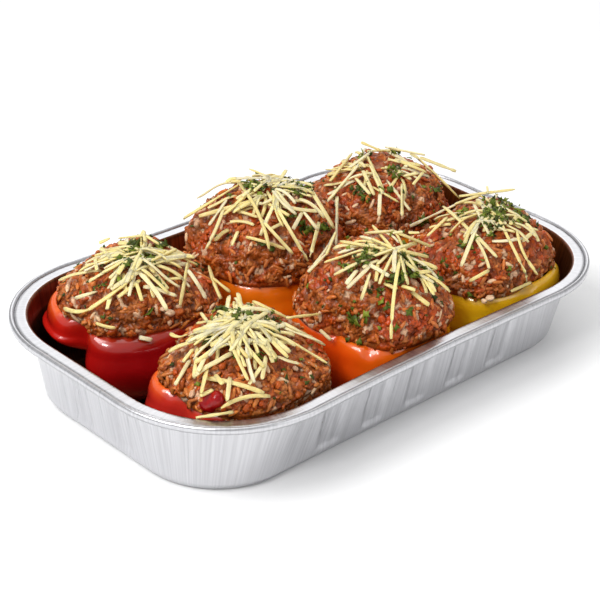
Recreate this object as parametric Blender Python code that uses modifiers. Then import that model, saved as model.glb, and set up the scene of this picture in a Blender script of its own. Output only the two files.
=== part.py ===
"""Six stuffed pepper halves in an oblong foil tray, heaped with rice and mince under shredded cheese.

The origin is the middle of the tray's underside. +X runs along the tray and +Z is up. Lengths in this
file are millimetres until a mesh is made, where they become metres.
"""

import math
import random
from dataclasses import dataclass

import bmesh
import bpy
from mathutils import Vector, noise
from mathutils.bvhtree import BVHTree

MM = 0.001
PART_NAME = "stuffed_pepper_tray"

# Touching pieces keep this gap, and a filling keeps a wider one from its pepper's hollow.
GAP = 0.4
HOLLOW_GAP = 0.8

# Tray, measured at the inner edge of its rim and at its base.
LIP_LENGTH = 300.0
LIP_WIDTH = 186.0
LIP_CORNER = 60.75
LIP_HEIGHT = 46.2
BASE_LENGTH = 281.7
BASE_WIDTH = 157.3
BASE_CORNER = 43.75
BASE_EDGE = 3.5
BASE_EDGE_SHARES = (1.0, 0.3)
FOIL = 0.5
# The long and short sides bow inward between the corners.
SIDE_BOW = 4.8
END_BOW = 0.8
CORNER_STEPS = 7

# Rim, as (distance out from the lip, height): lip, flange, groove, rolled bead and turned-down skirt.
RIM_PROFILE = (
    (0.7, 46.6),
    (6.2, 46.8),
    (6.9, 46.3),
    (8.0, 47.7),
    (9.3, 46.6),
    (9.1, 44.6),
)

# Upright panels pressed into the walls: their middles, half width, depth and the run of each side edge.
SIDE_PANELS = (-63.4, -31.7, 0.0, 31.7, 63.4)
END_PANELS = (-16.4, 16.4)
PANEL_HALF = 7.9
PANEL_DEPTH = 1.3
SHARP_EDGE = 0.6
SOFT_EDGE = 2.2
PANEL_LEVELS = ((5.2, 0.0), (9.6, 1.0), (40.5, 1.0), (44.6, 0.0))

# Pepper halves.
FLOOR = FOIL + GAP
EQUATOR = 27.0
PEPPER_SQUARENESS = 2.5
FLESH = 6.0
WALL_CLEARANCE = 2.5
PEPPER_STEPS = 20
# Skin from the bottom up, as (share of full radius, share of the way up, strength of the grooves).
SKIN_LEVELS = ((0.5, 0.03, 0.5), (0.8, 0.17, 1.0), (0.95, 0.4, 1.0), (1.0, 0.72, 1.0), (0.955, 1.0, 0.9))
# A raised lobe keeps its full height from this share of the radius outward.
RAISED_FULL = 0.7
# Hollow from the cut face down.
HOLLOW_LEVELS = ((0.955, 1.0, 0.9), (0.975, 0.55, 0.9), (0.72, 0.2, 0.5))
HOLLOW_FLOOR = 7.5

# Heaped filling.
HEAP_LEVELS = (0.0, 0.14, 0.32, 0.52, 0.74)
HEAP_BULGE = 0.035
# The heap repeats the pepper's grooves this strongly.
HEAP_GROOVES = 0.54
# Half width, in degrees, of a flank that is steeper or hollower than the rest of its heap.
FLANK_WIDTH = 55.0
LUMP_HEIGHT = 2.6
LUMP_SPACING = 15.0
# Lumps push outward at the edge and more and more upward higher up. They are full from this rise on.
LUMP_UPWARD = 18.0
LUMP_FULL = 0.25

# Small pieces on each heap: cheese shreds, rice grains and parsley flakes.
SHRED_WIDTH = 2.4
SHRED_THICKNESS = 1.3
SHRED_LENGTH = (17.0, 38.0)
# Shreds that hang down the slope: their number, where they start and end, how far they turn and how they
# lift off the heap at their start, middle and end.
SHREDS = 8
SHRED_STARTS = (0.60, 0.93)
SHRED_LOWEST = 0.17
SHRED_SPREAD = 16.0
SHRED_SWING = 34.0
SHRED_LIFTS = (0.5, 2.1, 0.5)
# The share of a hanging shred's length that goes down.
SHRED_STEEPNESS = 0.52
# Shreds that lie across the top.
CROWN_SHREDS = 3
CROWN_RISES = (0.86, 0.97)
CROWN_LIFT = 1.6
CROWN_SAG = 1.2
CROWN_SHARE = 0.77
GRAINS = 3
GRAIN_LENGTH = 6.8
GRAIN_RADIUS = 1.15
GRAIN_SIDES = 5
GRAIN_SHOULDER = 0.28
GRAIN_RISES = (0.16, 0.75)
GRAIN_LIFT = 0.35
FLAKES = 2
FLAKE_SIZE = 4.2
FLAKE_WIDTH = 2.94
FLAKE_THICKNESS = 0.8
FLAKE_RISES = (0.45, 0.95)
FLAKE_LIFT = 0.6
FLAKE_TILT = 0.3

# Above this height a shred may reach out over the rim.
CLEAR_OF_RIM = 49.2


@dataclass(frozen=True)
class Portion:
    """One filled pepper half: where it lies, its size, cut height, heap and grooves between its lobes."""

    number: int
    middle: tuple
    half: tuple
    cell: tuple
    cut: float
    top: float
    fullness: float
    lean: tuple
    flanks: tuple
    grooves: tuple
    raised: tuple
    edges: tuple
    colour: tuple


RED = (0.42, 0.008, 0.006, 1.0)
DARK_RED = (0.30, 0.004, 0.006, 1.0)
ORANGE = (0.85, 0.17, 0.01, 1.0)
YELLOW = (0.80, 0.43, 0.015, 1.0)
BROWN = (0.26, 0.09, 0.04, 1.0)
SILVER = (0.72, 0.73, 0.75, 1.0)
SATIN = 0.3
MOIST = 0.55
GLOSSY = 0.2

# How far short of the skin a heap's edge stops: where the cut flesh is bare, where the heap is set back,
# where it spills, and elsewhere.
BARE = 5.2
SET_BACK = 4.0
SPILL = -2.2
EDGE_REST = 0.4

# A flank is (direction in degrees, what it adds to the heap's fullness power). A groove is (direction, depth
# as a share of the radius, half width), and swells where its depth is negative. A raised lobe is (direction,
# half width, height of its underside). A stretch of edge is (direction, half width, distance short of the
# skin).
PORTIONS = (
    Portion(1, (-86.0, 43.0), (46.0, 42.0), (-160.0, -40.6, 0.6, 95.0), 47.0, 78.5, 0.9, (0.0, -2.0),
            ((135.0, 1.7), (-45.0, 2.8)),
            ((184.5, 0.25, 10.0), (208.0, -0.06, 14.0), (122.0, -0.07, 24.0), (62.0, 0.07, 15.0),
             (-70.0, 0.05, 14.0)),
            ((145.0, 50.0, 29.0),), ((140.0, 34.0, BARE), (233.0, 32.0, SET_BACK)), RED),
    Portion(2, (4.0, 42.5), (44.0, 41.0), (-40.0, 48.6, 0.6, 95.0), 46.0, 87.5, 1.4, (1.0, -1.0),
            ((135.0, -0.5), (-45.0, -0.6)),
            ((190.0, 0.06, 14.0), (-58.0, 0.06, 14.0), (75.0, 0.07, 15.0)),
            (), ((-78.0, 40.0, SPILL),), ORANGE),
    Portion(3, (94.0, 42.5), (45.0, 41.5), (49.2, 160.0, 0.6, 95.0), 46.0, 73.5, 0.45, (-3.0, 0.0),
            ((135.0, 1.3), (-45.0, 0.3)),
            ((12.0, 0.08, 14.0), (110.0, 0.07, 15.0), (-60.0, 0.05, 14.0)),
            (), ((-30.0, 16.0, BARE),), ORANGE),
    Portion(4, (-91.5, -43.5), (46.5, 42.0), (-160.0, -44.6, -95.0, -0.6), 45.5, 74.5, 0.7, (0.0, -2.0),
            ((135.0, 2.4), (-45.0, 3.0)),
            ((184.0, 0.13, 12.0), (122.0, 0.16, 20.0), (-80.0, 0.05, 14.0), (72.0, 0.06, 15.0)),
            (), ((158.0, 20.0, BARE), (116.0, 26.0, SET_BACK), (-88.0, 55.0, SPILL)), RED),
    Portion(5, (2.5, -45.0), (41.0, 42.5), (-44.0, 43.0, -95.0, -0.6), 45.0, 84.5, 0.7, (7.0, -7.0),
            ((-45.0, 2.0),),
            ((96.0, 0.07, 15.0), (20.0, 0.06, 14.0), (190.0, 0.1, 14.0), (-48.0, 0.04, 13.0)),
            (), ((205.0, 22.0, BARE),), ORANGE),
    Portion(6, (90.0, -43.0), (46.5, 42.0), (43.4, 160.0, -95.0, -0.6), 45.0, 76.5, 0.55, (1.0, -4.0),
            ((135.0, 1.9), (-45.0, 1.1)),
            ((8.0, 0.07, 14.0), (88.0, 0.06, 15.0), (200.0, 0.06, 14.0)),
            (), ((-62.0, 42.0, BARE),), YELLOW),
)

# A chunk of dark red pepper lies in the side of the fourth heap.
CHUNK_PORTION = 4
CHUNK_MIDDLE = (-128.6, -67.0, 52.4)
CHUNK_HALF = (7.2, 4.4, 4.0)
CHUNK_AXIS = (0.41, -0.63, 0.66)
CHUNK_SQUARENESS = 0.72


def clear_scene():
    """Remove whatever the scene starts with."""
    for thing in list(bpy.data.objects):
        bpy.data.objects.remove(thing, do_unlink=True)


def new_material(name, colour, roughness, metallic=0.0):
    """A Principled material."""
    material = bpy.data.materials.new(name)
    material.use_nodes = True
    shader = material.node_tree.nodes["Principled BSDF"]
    shader.inputs["Base Color"].default_value = colour
    shader.inputs["Roughness"].default_value = roughness
    shader.inputs["Metallic"].default_value = metallic
    material.diffuse_color = colour
    return material


def new_object(name, bm, collection, material=None):
    """Turn a bmesh in millimetres into an object in metres."""
    bmesh.ops.scale(bm, vec=(MM, MM, MM), verts=bm.verts)
    mesh = bpy.data.meshes.new(name)
    bm.to_mesh(mesh)
    bm.free()
    if material:
        mesh.materials.append(material)
    thing = bpy.data.objects.new(name, mesh)
    collection.objects.link(thing)
    return thing


def loft(rings, close_first=False, close_last=False):
    """Join rings of points, splitting a quad the same way whether it runs up or down. One point is a pole."""
    bm = bmesh.new()
    rows = [[bm.verts.new(point) for point in ring] for ring in rings]
    for low, high in zip(rows, rows[1:]):
        count = max(len(low), len(high))
        for i in range(count):
            j = (i + 1) % count
            if len(low) == 1:
                bm.faces.new((low[0], high[j], high[i]))
            elif len(high) == 1:
                bm.faces.new((low[i], low[j], high[0]))
            elif high[i].co.z >= low[i].co.z:
                bm.faces.new((low[i], low[j], high[j]))
                bm.faces.new((low[i], high[j], high[i]))
            else:
                bm.faces.new((low[i], low[j], high[i]))
                bm.faces.new((low[j], high[j], high[i]))
    if close_first:
        bm.faces.new(rows[0][::-1])
    if close_last:
        bm.faces.new(rows[-1])
    return bm


def panel_stations(middles, limit):
    """Places along a side where a panel's edges start and end, each with whether it is pressed in."""
    stations = []
    for middle in middles:
        stations.append((middle - PANEL_HALF, False))
        stations.append((middle - PANEL_HALF + SHARP_EDGE, True))
        stations.append((middle + PANEL_HALF - SOFT_EDGE, True))
        stations.append((middle + PANEL_HALF, False))
    return [station for station in stations if abs(station[0]) < limit]


def tray_outline(length, width, corner, side_bow, end_bow, press=0.0):
    """Anticlockwise points of the bowed, rounded oblong, with its panels pressed in."""
    half_x = length / 2
    half_y = width / 2
    run_x = half_x - corner
    run_y = half_y - corner
    along = panel_stations(SIDE_PANELS, LIP_LENGTH / 2 - LIP_CORNER)
    across = panel_stations(END_PANELS, LIP_WIDTH / 2 - LIP_CORNER)
    sides = (
        [(x, half_y - press * pressed) for x, pressed in reversed(along)],
        [(-half_x + press * pressed, y) for y, pressed in reversed(across)],
        [(x, -half_y + press * pressed) for x, pressed in along],
        [(half_x - press * pressed, y) for y, pressed in across],
    )
    centres = ((run_x, run_y), (-run_x, run_y), (-run_x, -run_y), (run_x, -run_y))
    points = []
    for quarter, (centre, side) in enumerate(zip(centres, sides)):
        for step in range(CORNER_STEPS + 1):
            angle = math.pi / 2 * (quarter + step / CORNER_STEPS)
            points.append((centre[0] + corner * math.cos(angle), centre[1] + corner * math.sin(angle)))
        points.extend(side)
    return [bowed(x, y, half_x, half_y, side_bow, end_bow) for x, y in points]


def bowed(x, y, half_x, half_y, side_bow, end_bow):
    """Pull the middle of each side inward."""
    along = max(0.0, 1 - (x / half_x) ** 2)
    across = max(0.0, 1 - (y / half_y) ** 2)
    return x * (1 - end_bow * across / half_x), y * (1 - side_bow * along / half_y)


def tray_ring(points, height):
    return [(x, y, height) for x, y in points]


def wall_outline(height, press=0.0):
    """The tray wall's outer face at a height, between the base outline and the lip."""
    share = height / LIP_HEIGHT
    return tray_outline(
        BASE_LENGTH + (LIP_LENGTH - BASE_LENGTH) * share,
        BASE_WIDTH + (LIP_WIDTH - BASE_WIDTH) * share,
        BASE_CORNER + (LIP_CORNER - BASE_CORNER) * share,
        SIDE_BOW * share,
        END_BOW * share,
        press,
    )


def make_tray(collection, material):
    """The foil: flat base, leaning walls with pressed panels, flange, bead and skirt."""
    rings = []
    for share in BASE_EDGE_SHARES:
        inset = BASE_EDGE * share
        corner = BASE_CORNER - inset
        outline = tray_outline(BASE_LENGTH - 2 * inset, BASE_WIDTH - 2 * inset, corner, 0.0, 0.0)
        rings.append(tray_ring(outline, BASE_EDGE * (1 - share) ** 2))
    for height, pressed in PANEL_LEVELS:
        rings.append(tray_ring(wall_outline(height, PANEL_DEPTH * pressed), height))
    for out, height in RIM_PROFILE:
        outline = tray_outline(LIP_LENGTH + 2 * out, LIP_WIDTH + 2 * out, LIP_CORNER + out, SIDE_BOW, END_BOW)
        rings.append(tray_ring(outline, height))
    tray = new_object("tray", loft(rings, close_first=True), collection, material)
    foil = tray.modifiers.new("foil thickness", "SOLIDIFY")
    foil.thickness = FOIL * MM
    foil.offset = -1.0
    foil.use_even_offset = True
    return tray


def inside_tray(x, y, height, clearance):
    """Move a point in until it clears the tray's wall at its height."""
    share = min(height, LIP_HEIGHT) / LIP_HEIGHT
    half_x = (BASE_LENGTH + (LIP_LENGTH - BASE_LENGTH) * share) / 2
    half_y = (BASE_WIDTH + (LIP_WIDTH - BASE_WIDTH) * share) / 2
    corner = BASE_CORNER + (LIP_CORNER - BASE_CORNER) * share
    bow = SIDE_BOW * share * max(0.0, 1 - (x / half_x) ** 2)
    limit_x = half_x - clearance - END_BOW * share
    limit_y = half_y - clearance - bow
    x = max(-limit_x, min(limit_x, x))
    y = max(-limit_y, min(limit_y, y))
    over_x = abs(x) - (half_x - corner)
    over_y = abs(y) - (half_y - corner)
    reach = math.hypot(over_x, over_y)
    most = corner - clearance - bow / 2
    if over_x > 0 and over_y > 0 and reach > most:
        x -= math.copysign(over_x * (1 - most / reach), x)
        y -= math.copysign(over_y * (1 - most / reach), y)
    return x, y


def angle_between(first, second):
    """The turn from one direction to another, in degrees, between -180 and 180."""
    return (first - second + 180.0) % 360.0 - 180.0


def pepper_radius(portion, degrees, grooved):
    """Distance from the middle to the pepper's widest outline, pulled in at the grooves between lobes."""
    turn = math.radians(degrees)
    wide = abs(math.cos(turn) / portion.half[0]) ** PEPPER_SQUARENESS
    deep = abs(math.sin(turn) / portion.half[1]) ** PEPPER_SQUARENESS
    radius = (wide + deep) ** (-1 / PEPPER_SQUARENESS)
    for direction, depth, width in portion.grooves:
        radius *= 1 - grooved * depth * math.exp(-((angle_between(degrees, direction) / width) ** 2))
    return radius


def directions(portion):
    """Even directions round a pepper, with the nearest one moved into each groove."""
    step = 360.0 / PEPPER_STEPS
    turns = [step * i for i in range(PEPPER_STEPS)]
    for direction, _, _ in portion.grooves:
        nearest = min(range(PEPPER_STEPS), key=lambda i: abs(angle_between(turns[i], direction)))
        turns[nearest] += angle_between(direction, turns[nearest])
    return turns


def place(portion, degrees, radius, height, clearance):
    """A point round a portion, kept in its own share of the tray and clear of the tray's wall."""
    turn = math.radians(degrees)
    x = portion.middle[0] + radius * math.cos(turn)
    y = portion.middle[1] + radius * math.sin(turn)
    left, right, front, back = portion.cell
    x = max(left, min(right, x))
    y = max(front, min(back, y))
    if height < CLEAR_OF_RIM:
        x, y = inside_tray(x, y, height, clearance)
    return Vector((x, y, height))


def underside(portion, degrees):
    """How far a lobe's underside is raised off the tray."""
    return sum(
        height * math.exp(-((angle_between(degrees, direction) / width) ** 4))
        for direction, width, height in portion.raised
    )


def pepper_ring(portion, level, inset=0.0, rise=0.0):
    """One ring of the pepper: its skin, or with an inset its hollow."""
    share, up, grooved = level
    ring = []
    for degrees in directions(portion):
        bottom = FLOOR + underside(portion, degrees) * min(1.0, share / RAISED_FULL)
        height = bottom + (portion.cut - bottom) * up
        radius = pepper_radius(portion, degrees, grooved) * share
        skin = place(portion, degrees, radius, height, WALL_CLEARANCE)
        middle = Vector((portion.middle[0], portion.middle[1], height))
        outward = skin - middle
        point = middle + outward * (1 - inset / outward.length)
        point.z += rise
        ring.append(point)
    return ring


def make_pepper(portion, collection, material):
    """A hollowed pepper half, lying on its back with the cut face up."""
    rings = [[(portion.middle[0], portion.middle[1], FLOOR)]]
    for level in SKIN_LEVELS:
        rings.append(pepper_ring(portion, level))
    for level in HOLLOW_LEVELS:
        rings.append(pepper_ring(portion, level, inset=FLESH))
    rings.append([(portion.middle[0], portion.middle[1], HOLLOW_FLOOR)])
    return new_object(f"pepper_{portion.number}", loft(rings), collection, material)


def heap_edge(portion, degrees):
    """How far short of the skin the heap's edge stops."""
    short = EDGE_REST
    for direction, width, distance in portion.edges:
        short += (distance - EDGE_REST) * math.exp(-((angle_between(degrees, direction) / width) ** 4))
    return short


def heap_point(portion, degrees, rise):
    """A point on the smooth heap: rise runs from 0 at its edge to 1 at its top."""
    turn = rise * math.pi / 2
    edge_share = SKIN_LEVELS[-1][0]
    full = pepper_radius(portion, degrees, HEAP_GROOVES) * edge_share
    power = portion.fullness
    for direction, extra in portion.flanks:
        power += extra * math.exp(-((angle_between(degrees, direction) / FLANK_WIDTH) ** 2))
    radius = (full - heap_edge(portion, degrees) * (1 - rise)) * math.cos(turn) ** power
    radius *= 1 + HEAP_BULGE * math.sin(2 * turn)
    low = portion.cut + GAP
    height = low + (portion.top - low) * math.sin(turn)
    point = place(portion, degrees, radius, height, WALL_CLEARANCE)
    point.x += portion.lean[0] * rise
    point.y += portion.lean[1] * rise
    return point


def lump(point, strength):
    """How far a point of the uneven heap lies out from the smooth one."""
    return LUMP_HEIGHT * strength * noise.noise(point / LUMP_SPACING)


def heap_ring(portion, rise):
    """One ring of the uneven heap."""
    ring = []
    for degrees in directions(portion):
        point = heap_point(portion, degrees, rise)
        outward = Vector((point.x - portion.middle[0], point.y - portion.middle[1], LUMP_UPWARD * rise))
        moved = point + outward.normalized() * lump(point, min(1.0, rise / LUMP_FULL))
        left, right, front, back = portion.cell
        moved.x = max(left, min(right, moved.x))
        moved.y = max(front, min(back, moved.y))
        ring.append(moved)
    return ring


def heap_core(portion):
    """The filling from the bottom of the pepper's hollow to the top of its heap."""
    middle_x, middle_y = portion.middle
    rings = [[(middle_x, middle_y, HOLLOW_FLOOR + HOLLOW_GAP)]]
    for level in reversed(HOLLOW_LEVELS[1:]):
        rings.append(pepper_ring(portion, level, inset=FLESH + HOLLOW_GAP, rise=GAP))
    rings.append(pepper_ring(portion, HOLLOW_LEVELS[0], inset=FLESH + HOLLOW_GAP, rise=GAP))
    for rise in HEAP_LEVELS:
        rings.append(heap_ring(portion, rise))
    rings.append([heap_point(portion, 0.0, 1.0)])
    return loft(rings)


def strip(path, normals, width, thickness):
    """A flat strip along a path, lying square to the normals."""
    rings = []
    for i, point in enumerate(path):
        before = path[max(0, i - 1)]
        after = path[min(len(path) - 1, i + 1)]
        side = (after - before).cross(normals[i]).normalized() * width / 2
        up = normals[i] * thickness / 2
        rings.append([point + side + up, point - side + up, point - side - up, point + side - up])
    return loft(rings, close_first=True, close_last=True)


def grain(point, along, normal):
    """A rice grain: a pointed rod of five sides."""
    across = along.cross(normal).normalized()
    up = across.cross(along).normalized()
    tip = along * GRAIN_LENGTH / 2
    rings = [[point - tip]]
    for end in (-GRAIN_SHOULDER, GRAIN_SHOULDER):
        ring = []
        for side in range(GRAIN_SIDES):
            turn = 2 * math.pi * side / GRAIN_SIDES
            spoke = across * math.cos(turn) + up * math.sin(turn)
            ring.append(point + along * GRAIN_LENGTH * end + spoke * GRAIN_RADIUS)
        rings.append(ring)
    rings.append([point + tip])
    return loft(rings)


class Heap:
    """A heap's bare core, with the rule that puts small pieces on it."""

    def __init__(self, portion, core):
        self.portion = portion
        core.normal_update()
        self.tree = BVHTree.FromBMesh(core)

    def on_surface(self, degrees, rise, lift):
        """A point above the core, with the core's normal there."""
        target = heap_point(self.portion, degrees, rise)
        found, normal, _, _ = self.tree.find_nearest(target)
        if normal.dot(target - Vector((*self.portion.middle, EQUATOR))) < 0:
            normal = -normal
        return found + normal * lift, normal

    def clear(self, bm):
        """Whether a small piece stays in this portion's share, over the rim or inside it."""
        left, right, front, back = self.portion.cell
        for vert in bm.verts:
            x, y, z = vert.co
            if not (left < x < right and front < y < back):
                return False
            if z < CLEAR_OF_RIM and (x, y) != inside_tray(x, y, z, WALL_CLEARANCE):
                return False
            if z < self.portion.cut + 2 * GAP:
                return False
        return True


def shred_on(heap, draw, index):
    """A cheese shred that runs down from near the top, a little bowed off the slope."""
    degrees = 360.0 * index / SHREDS + draw.uniform(-SHRED_SPREAD, SHRED_SPREAD)
    swing = draw.uniform(-SHRED_SWING, SHRED_SWING)
    start = draw.uniform(*SHRED_STARTS)
    drop = draw.uniform(*SHRED_LENGTH) / (heap.portion.top - heap.portion.cut) * SHRED_STEEPNESS
    path = []
    normals = []
    for share, lift in zip((0.0, 0.5, 1.0), SHRED_LIFTS):
        rise = max(SHRED_LOWEST, start - drop * share)
        point, normal = heap.on_surface(degrees + swing * share, rise, lift)
        path.append(point)
        normals.append(normal)
    return strip(path, normals, SHRED_WIDTH, SHRED_THICKNESS)


def crown_shred(heap, draw):
    """A shred that lies across the top of the pile."""
    middle, normal = heap.on_surface(draw.uniform(0, 360), draw.uniform(*CROWN_RISES), CROWN_LIFT)
    turn = draw.uniform(0, math.pi)
    half = Vector((math.cos(turn), math.sin(turn), 0)) * draw.uniform(*SHRED_LENGTH) * CROWN_SHARE / 2
    path = [middle - half - normal * CROWN_LIFT, middle, middle + half - normal * CROWN_SAG]
    return strip(path, [normal] * 3, SHRED_WIDTH, SHRED_THICKNESS)


def grain_on(heap, draw):
    """A rice grain that lies on the slope, half sunk in it."""
    point, normal = heap.on_surface(draw.uniform(0, 360), draw.uniform(*GRAIN_RISES), GRAIN_LIFT)
    along = Vector((draw.uniform(-1, 1), draw.uniform(-1, 1), draw.uniform(-1, 1)))
    along = (along - normal * along.dot(normal)).normalized()
    return grain(point, along, normal)


def flake_on(heap, draw):
    """A parsley flake, tilted up from the slope."""
    point, normal = heap.on_surface(draw.uniform(0, 360), draw.uniform(*FLAKE_RISES), FLAKE_LIFT)
    along = Vector((draw.uniform(-1, 1), draw.uniform(-1, 1), 0))
    along = (along - normal * along.dot(normal)).normalized() + normal * FLAKE_TILT
    along *= FLAKE_SIZE / 2
    return strip([point - along, point + along], [normal] * 2, FLAKE_WIDTH, FLAKE_THICKNESS)


def small_pieces(heap, draw):
    """All the small pieces of one heap that are clear of everything else."""
    pieces = [shred_on(heap, draw, index) for index in range(SHREDS)]
    pieces += [crown_shred(heap, draw) for _ in range(CROWN_SHREDS)]
    pieces += [grain_on(heap, draw) for _ in range(GRAINS)]
    pieces += [flake_on(heap, draw) for _ in range(FLAKES)]
    return [piece for piece in pieces if heap.clear(piece)]


def chunk_shape(name, collection, grow, material=None):
    """The chunk of pepper, a lumpy rounded block; grown by a margin it is the cutter of its own seat."""
    bm = bmesh.new()
    bmesh.ops.create_icosphere(bm, subdivisions=2, radius=1.0)
    for vert in bm.verts:
        square = [math.copysign(abs(value) ** CHUNK_SQUARENESS, value) for value in vert.co]
        vert.co = [value * (half + grow) for value, half in zip(square, CHUNK_HALF)]
    turn = Vector((1, 0, 0)).rotation_difference(Vector(CHUNK_AXIS)).to_matrix()
    bmesh.ops.rotate(bm, cent=(0, 0, 0), matrix=turn, verts=bm.verts)
    bmesh.ops.translate(bm, vec=CHUNK_MIDDLE, verts=bm.verts)
    return new_object(name, bm, collection, material)


def apply_modifiers(thing):
    """Replace an object's mesh by its evaluated one."""
    graph = bpy.context.evaluated_depsgraph_get()
    mesh = bpy.data.meshes.new_from_object(thing.evaluated_get(graph))
    old = thing.data
    thing.modifiers.clear()
    thing.data = mesh
    bpy.data.meshes.remove(old)


def keep_largest_shell(thing):
    """Drop loose scraps and the walls of any hollow that fusing sealed."""
    bm = bmesh.new()
    bm.from_mesh(thing.data)
    bm.verts.ensure_lookup_table()
    unseen = set(bm.verts)
    shells = []
    while unseen:
        shell = {unseen.pop()}
        edge = list(shell)
        while edge:
            vert = edge.pop()
            near = {link.other_vert(vert) for link in vert.link_edges} & unseen
            unseen -= near
            shell |= near
            edge.extend(near)
        shells.append(shell)
    largest = max(shells, key=len)
    bmesh.ops.delete(bm, geom=[vert for vert in bm.verts if vert not in largest], context="VERTS")
    bm.to_mesh(thing.data)
    bm.free()


def fuse(core, pieces, scene_collection):
    """Union the core with its small pieces, then remove them."""
    loose = bpy.data.collections.new(f"{core.name}_pieces")
    scene_collection.children.link(loose)
    for index, piece in enumerate(pieces):
        bmesh.ops.recalc_face_normals(piece, faces=piece.faces)
        new_object(f"{core.name}_piece_{index}", piece, loose)
    union = core.modifiers.new("fuse", "BOOLEAN")
    union.operation = "UNION"
    union.operand_type = "COLLECTION"
    union.collection = loose
    union.solver = "MANIFOLD"
    apply_modifiers(core)
    for thing in list(loose.objects):
        mesh = thing.data
        bpy.data.objects.remove(thing, do_unlink=True)
        bpy.data.meshes.remove(mesh)
    bpy.data.collections.remove(loose)
    keep_largest_shell(core)


def seat_chunk(filling, scene_collection):
    """Cut the chunk's seat into the heap."""
    cutters = bpy.data.collections.new("cutters")
    scene_collection.children.link(cutters)
    cutter = chunk_shape("chunk_seat", cutters, grow=GAP * 2)
    cutter.hide_render = True
    cutter.display_type = "WIRE"
    cut = filling.modifiers.new("seat", "BOOLEAN")
    cut.operation = "DIFFERENCE"
    cut.object = cutter
    cut.solver = "MANIFOLD"
    apply_modifiers(filling)


def make_filling(portion, collection, scene_collection, material):
    """The heap with its small pieces fused on."""
    core = heap_core(portion)
    heap = Heap(portion, core)
    draw = random.Random(portion.number)
    pieces = small_pieces(heap, draw)
    filling = new_object(f"filling_{portion.number}", core, collection, material)
    fuse(filling, pieces, scene_collection)
    if portion.number == CHUNK_PORTION:
        seat_chunk(filling, scene_collection)
        keep_largest_shell(filling)
    return filling


def build():
    clear_scene()
    scene_collection = bpy.context.scene.collection
    parts = bpy.data.collections.new(PART_NAME)
    scene_collection.children.link(parts)
    foil = new_material("foil", SILVER, SATIN, 1.0)
    mince = new_material("mince and rice", BROWN, MOIST)
    chunk = new_material("cooked pepper", DARK_RED, GLOSSY)
    make_tray(parts, foil)
    for portion in PORTIONS:
        skin = new_material(f"pepper skin {portion.number}", portion.colour, GLOSSY)
        make_pepper(portion, parts, skin)
        make_filling(portion, parts, scene_collection, mince)
    chunk_shape("pepper_chunk", parts, 0.0, chunk)


build()
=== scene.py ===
"""The looks of a foil tray meal: filled pepper halves under cheese and parsley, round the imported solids.

Lengths in this file are millimetres until a mesh is made, where they become metres.
"""

import math
import random
from dataclasses import dataclass

import bmesh
import bpy
import numpy as np
from mathutils import Matrix, Vector, noise
from mathutils.kdtree import KDTree


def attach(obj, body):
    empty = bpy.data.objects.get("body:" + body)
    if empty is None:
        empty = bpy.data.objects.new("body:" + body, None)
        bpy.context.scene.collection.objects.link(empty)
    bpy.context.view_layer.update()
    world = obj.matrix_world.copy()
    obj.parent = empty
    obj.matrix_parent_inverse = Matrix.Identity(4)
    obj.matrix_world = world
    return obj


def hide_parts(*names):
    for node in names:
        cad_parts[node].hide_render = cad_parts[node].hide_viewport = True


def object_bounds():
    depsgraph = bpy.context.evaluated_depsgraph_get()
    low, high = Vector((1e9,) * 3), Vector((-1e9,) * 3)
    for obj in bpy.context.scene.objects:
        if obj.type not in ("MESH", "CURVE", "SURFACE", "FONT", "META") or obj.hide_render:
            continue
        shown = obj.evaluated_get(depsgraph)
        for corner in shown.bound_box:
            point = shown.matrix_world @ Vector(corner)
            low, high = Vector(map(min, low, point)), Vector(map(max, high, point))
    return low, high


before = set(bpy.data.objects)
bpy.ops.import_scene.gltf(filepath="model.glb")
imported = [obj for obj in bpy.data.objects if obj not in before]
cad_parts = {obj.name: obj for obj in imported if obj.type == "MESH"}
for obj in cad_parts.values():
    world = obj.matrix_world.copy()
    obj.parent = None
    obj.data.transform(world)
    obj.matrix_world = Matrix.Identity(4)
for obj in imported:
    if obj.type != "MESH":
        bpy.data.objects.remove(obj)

CAD_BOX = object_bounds()
MM = 0.001

# The photograph's camera: where it looks, from which side, and how its frame of 600 by 600 pixels is filled.
PHOTO_SIDE = 600
CAMERA_TARGET = (40.0, 49.0, 0.0)
CAMERA_DISTANCE = 1023.5
CAMERA_AZIMUTH = -44.465
CAMERA_ELEVATION = 28.25
CAMERA_ROLL = 2.07
CAMERA_LENS = 105.01
CAMERA_SENSOR = 36.0
CAMERA_SHIFT = (0.0016, 0.0004)

# Tray, as in the solids.
LIP_LENGTH = 300.0
LIP_WIDTH = 186.0
LIP_CORNER = 60.75
LIP_HEIGHT = 46.2
BASE_LENGTH = 281.7
BASE_WIDTH = 157.3
BASE_CORNER = 43.75
BASE_EDGE = 3.5
SIDE_BOW = 4.8
END_BOW = 0.8
SIDE_PANELS = (-63.4, -31.7, 0.0, 31.7, 63.4)
END_PANELS = (-16.4, 16.4)
PANEL_HALF = 7.9
PANEL_DEPTH = 1.3
PANEL_SHARP = 0.7
PANEL_SOFT = 2.6
PANEL_LOW = (5.0, 9.6)
PANEL_HIGH = (40.0, 45.0)
FOIL = 0.35
CORNER_STEPS = 90
SIDE_STEP = 1.3
# Rings round the base's rounded edge, as shares of it, then up the wall, as (from, to, number of rings).
BASE_EDGE_SHARES = (1.0, 0.72, 0.46, 0.24, 0.08)
WALL_SPANS = ((4.2, 12.0, 9), (15.0, 38.0, 6), (39.5, 46.0, 8))
# Spacing of the small folds round the rim, and of the slow wave in the sheet.
FOLD_SPACINGS = (1.9, 1.05)
WAVE_SPACING = 12.0
# Rings over the lip: up to the first number they are flange, from the second on skirt.
FLANGE_END = 7
SKIRT_START = 13
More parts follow.
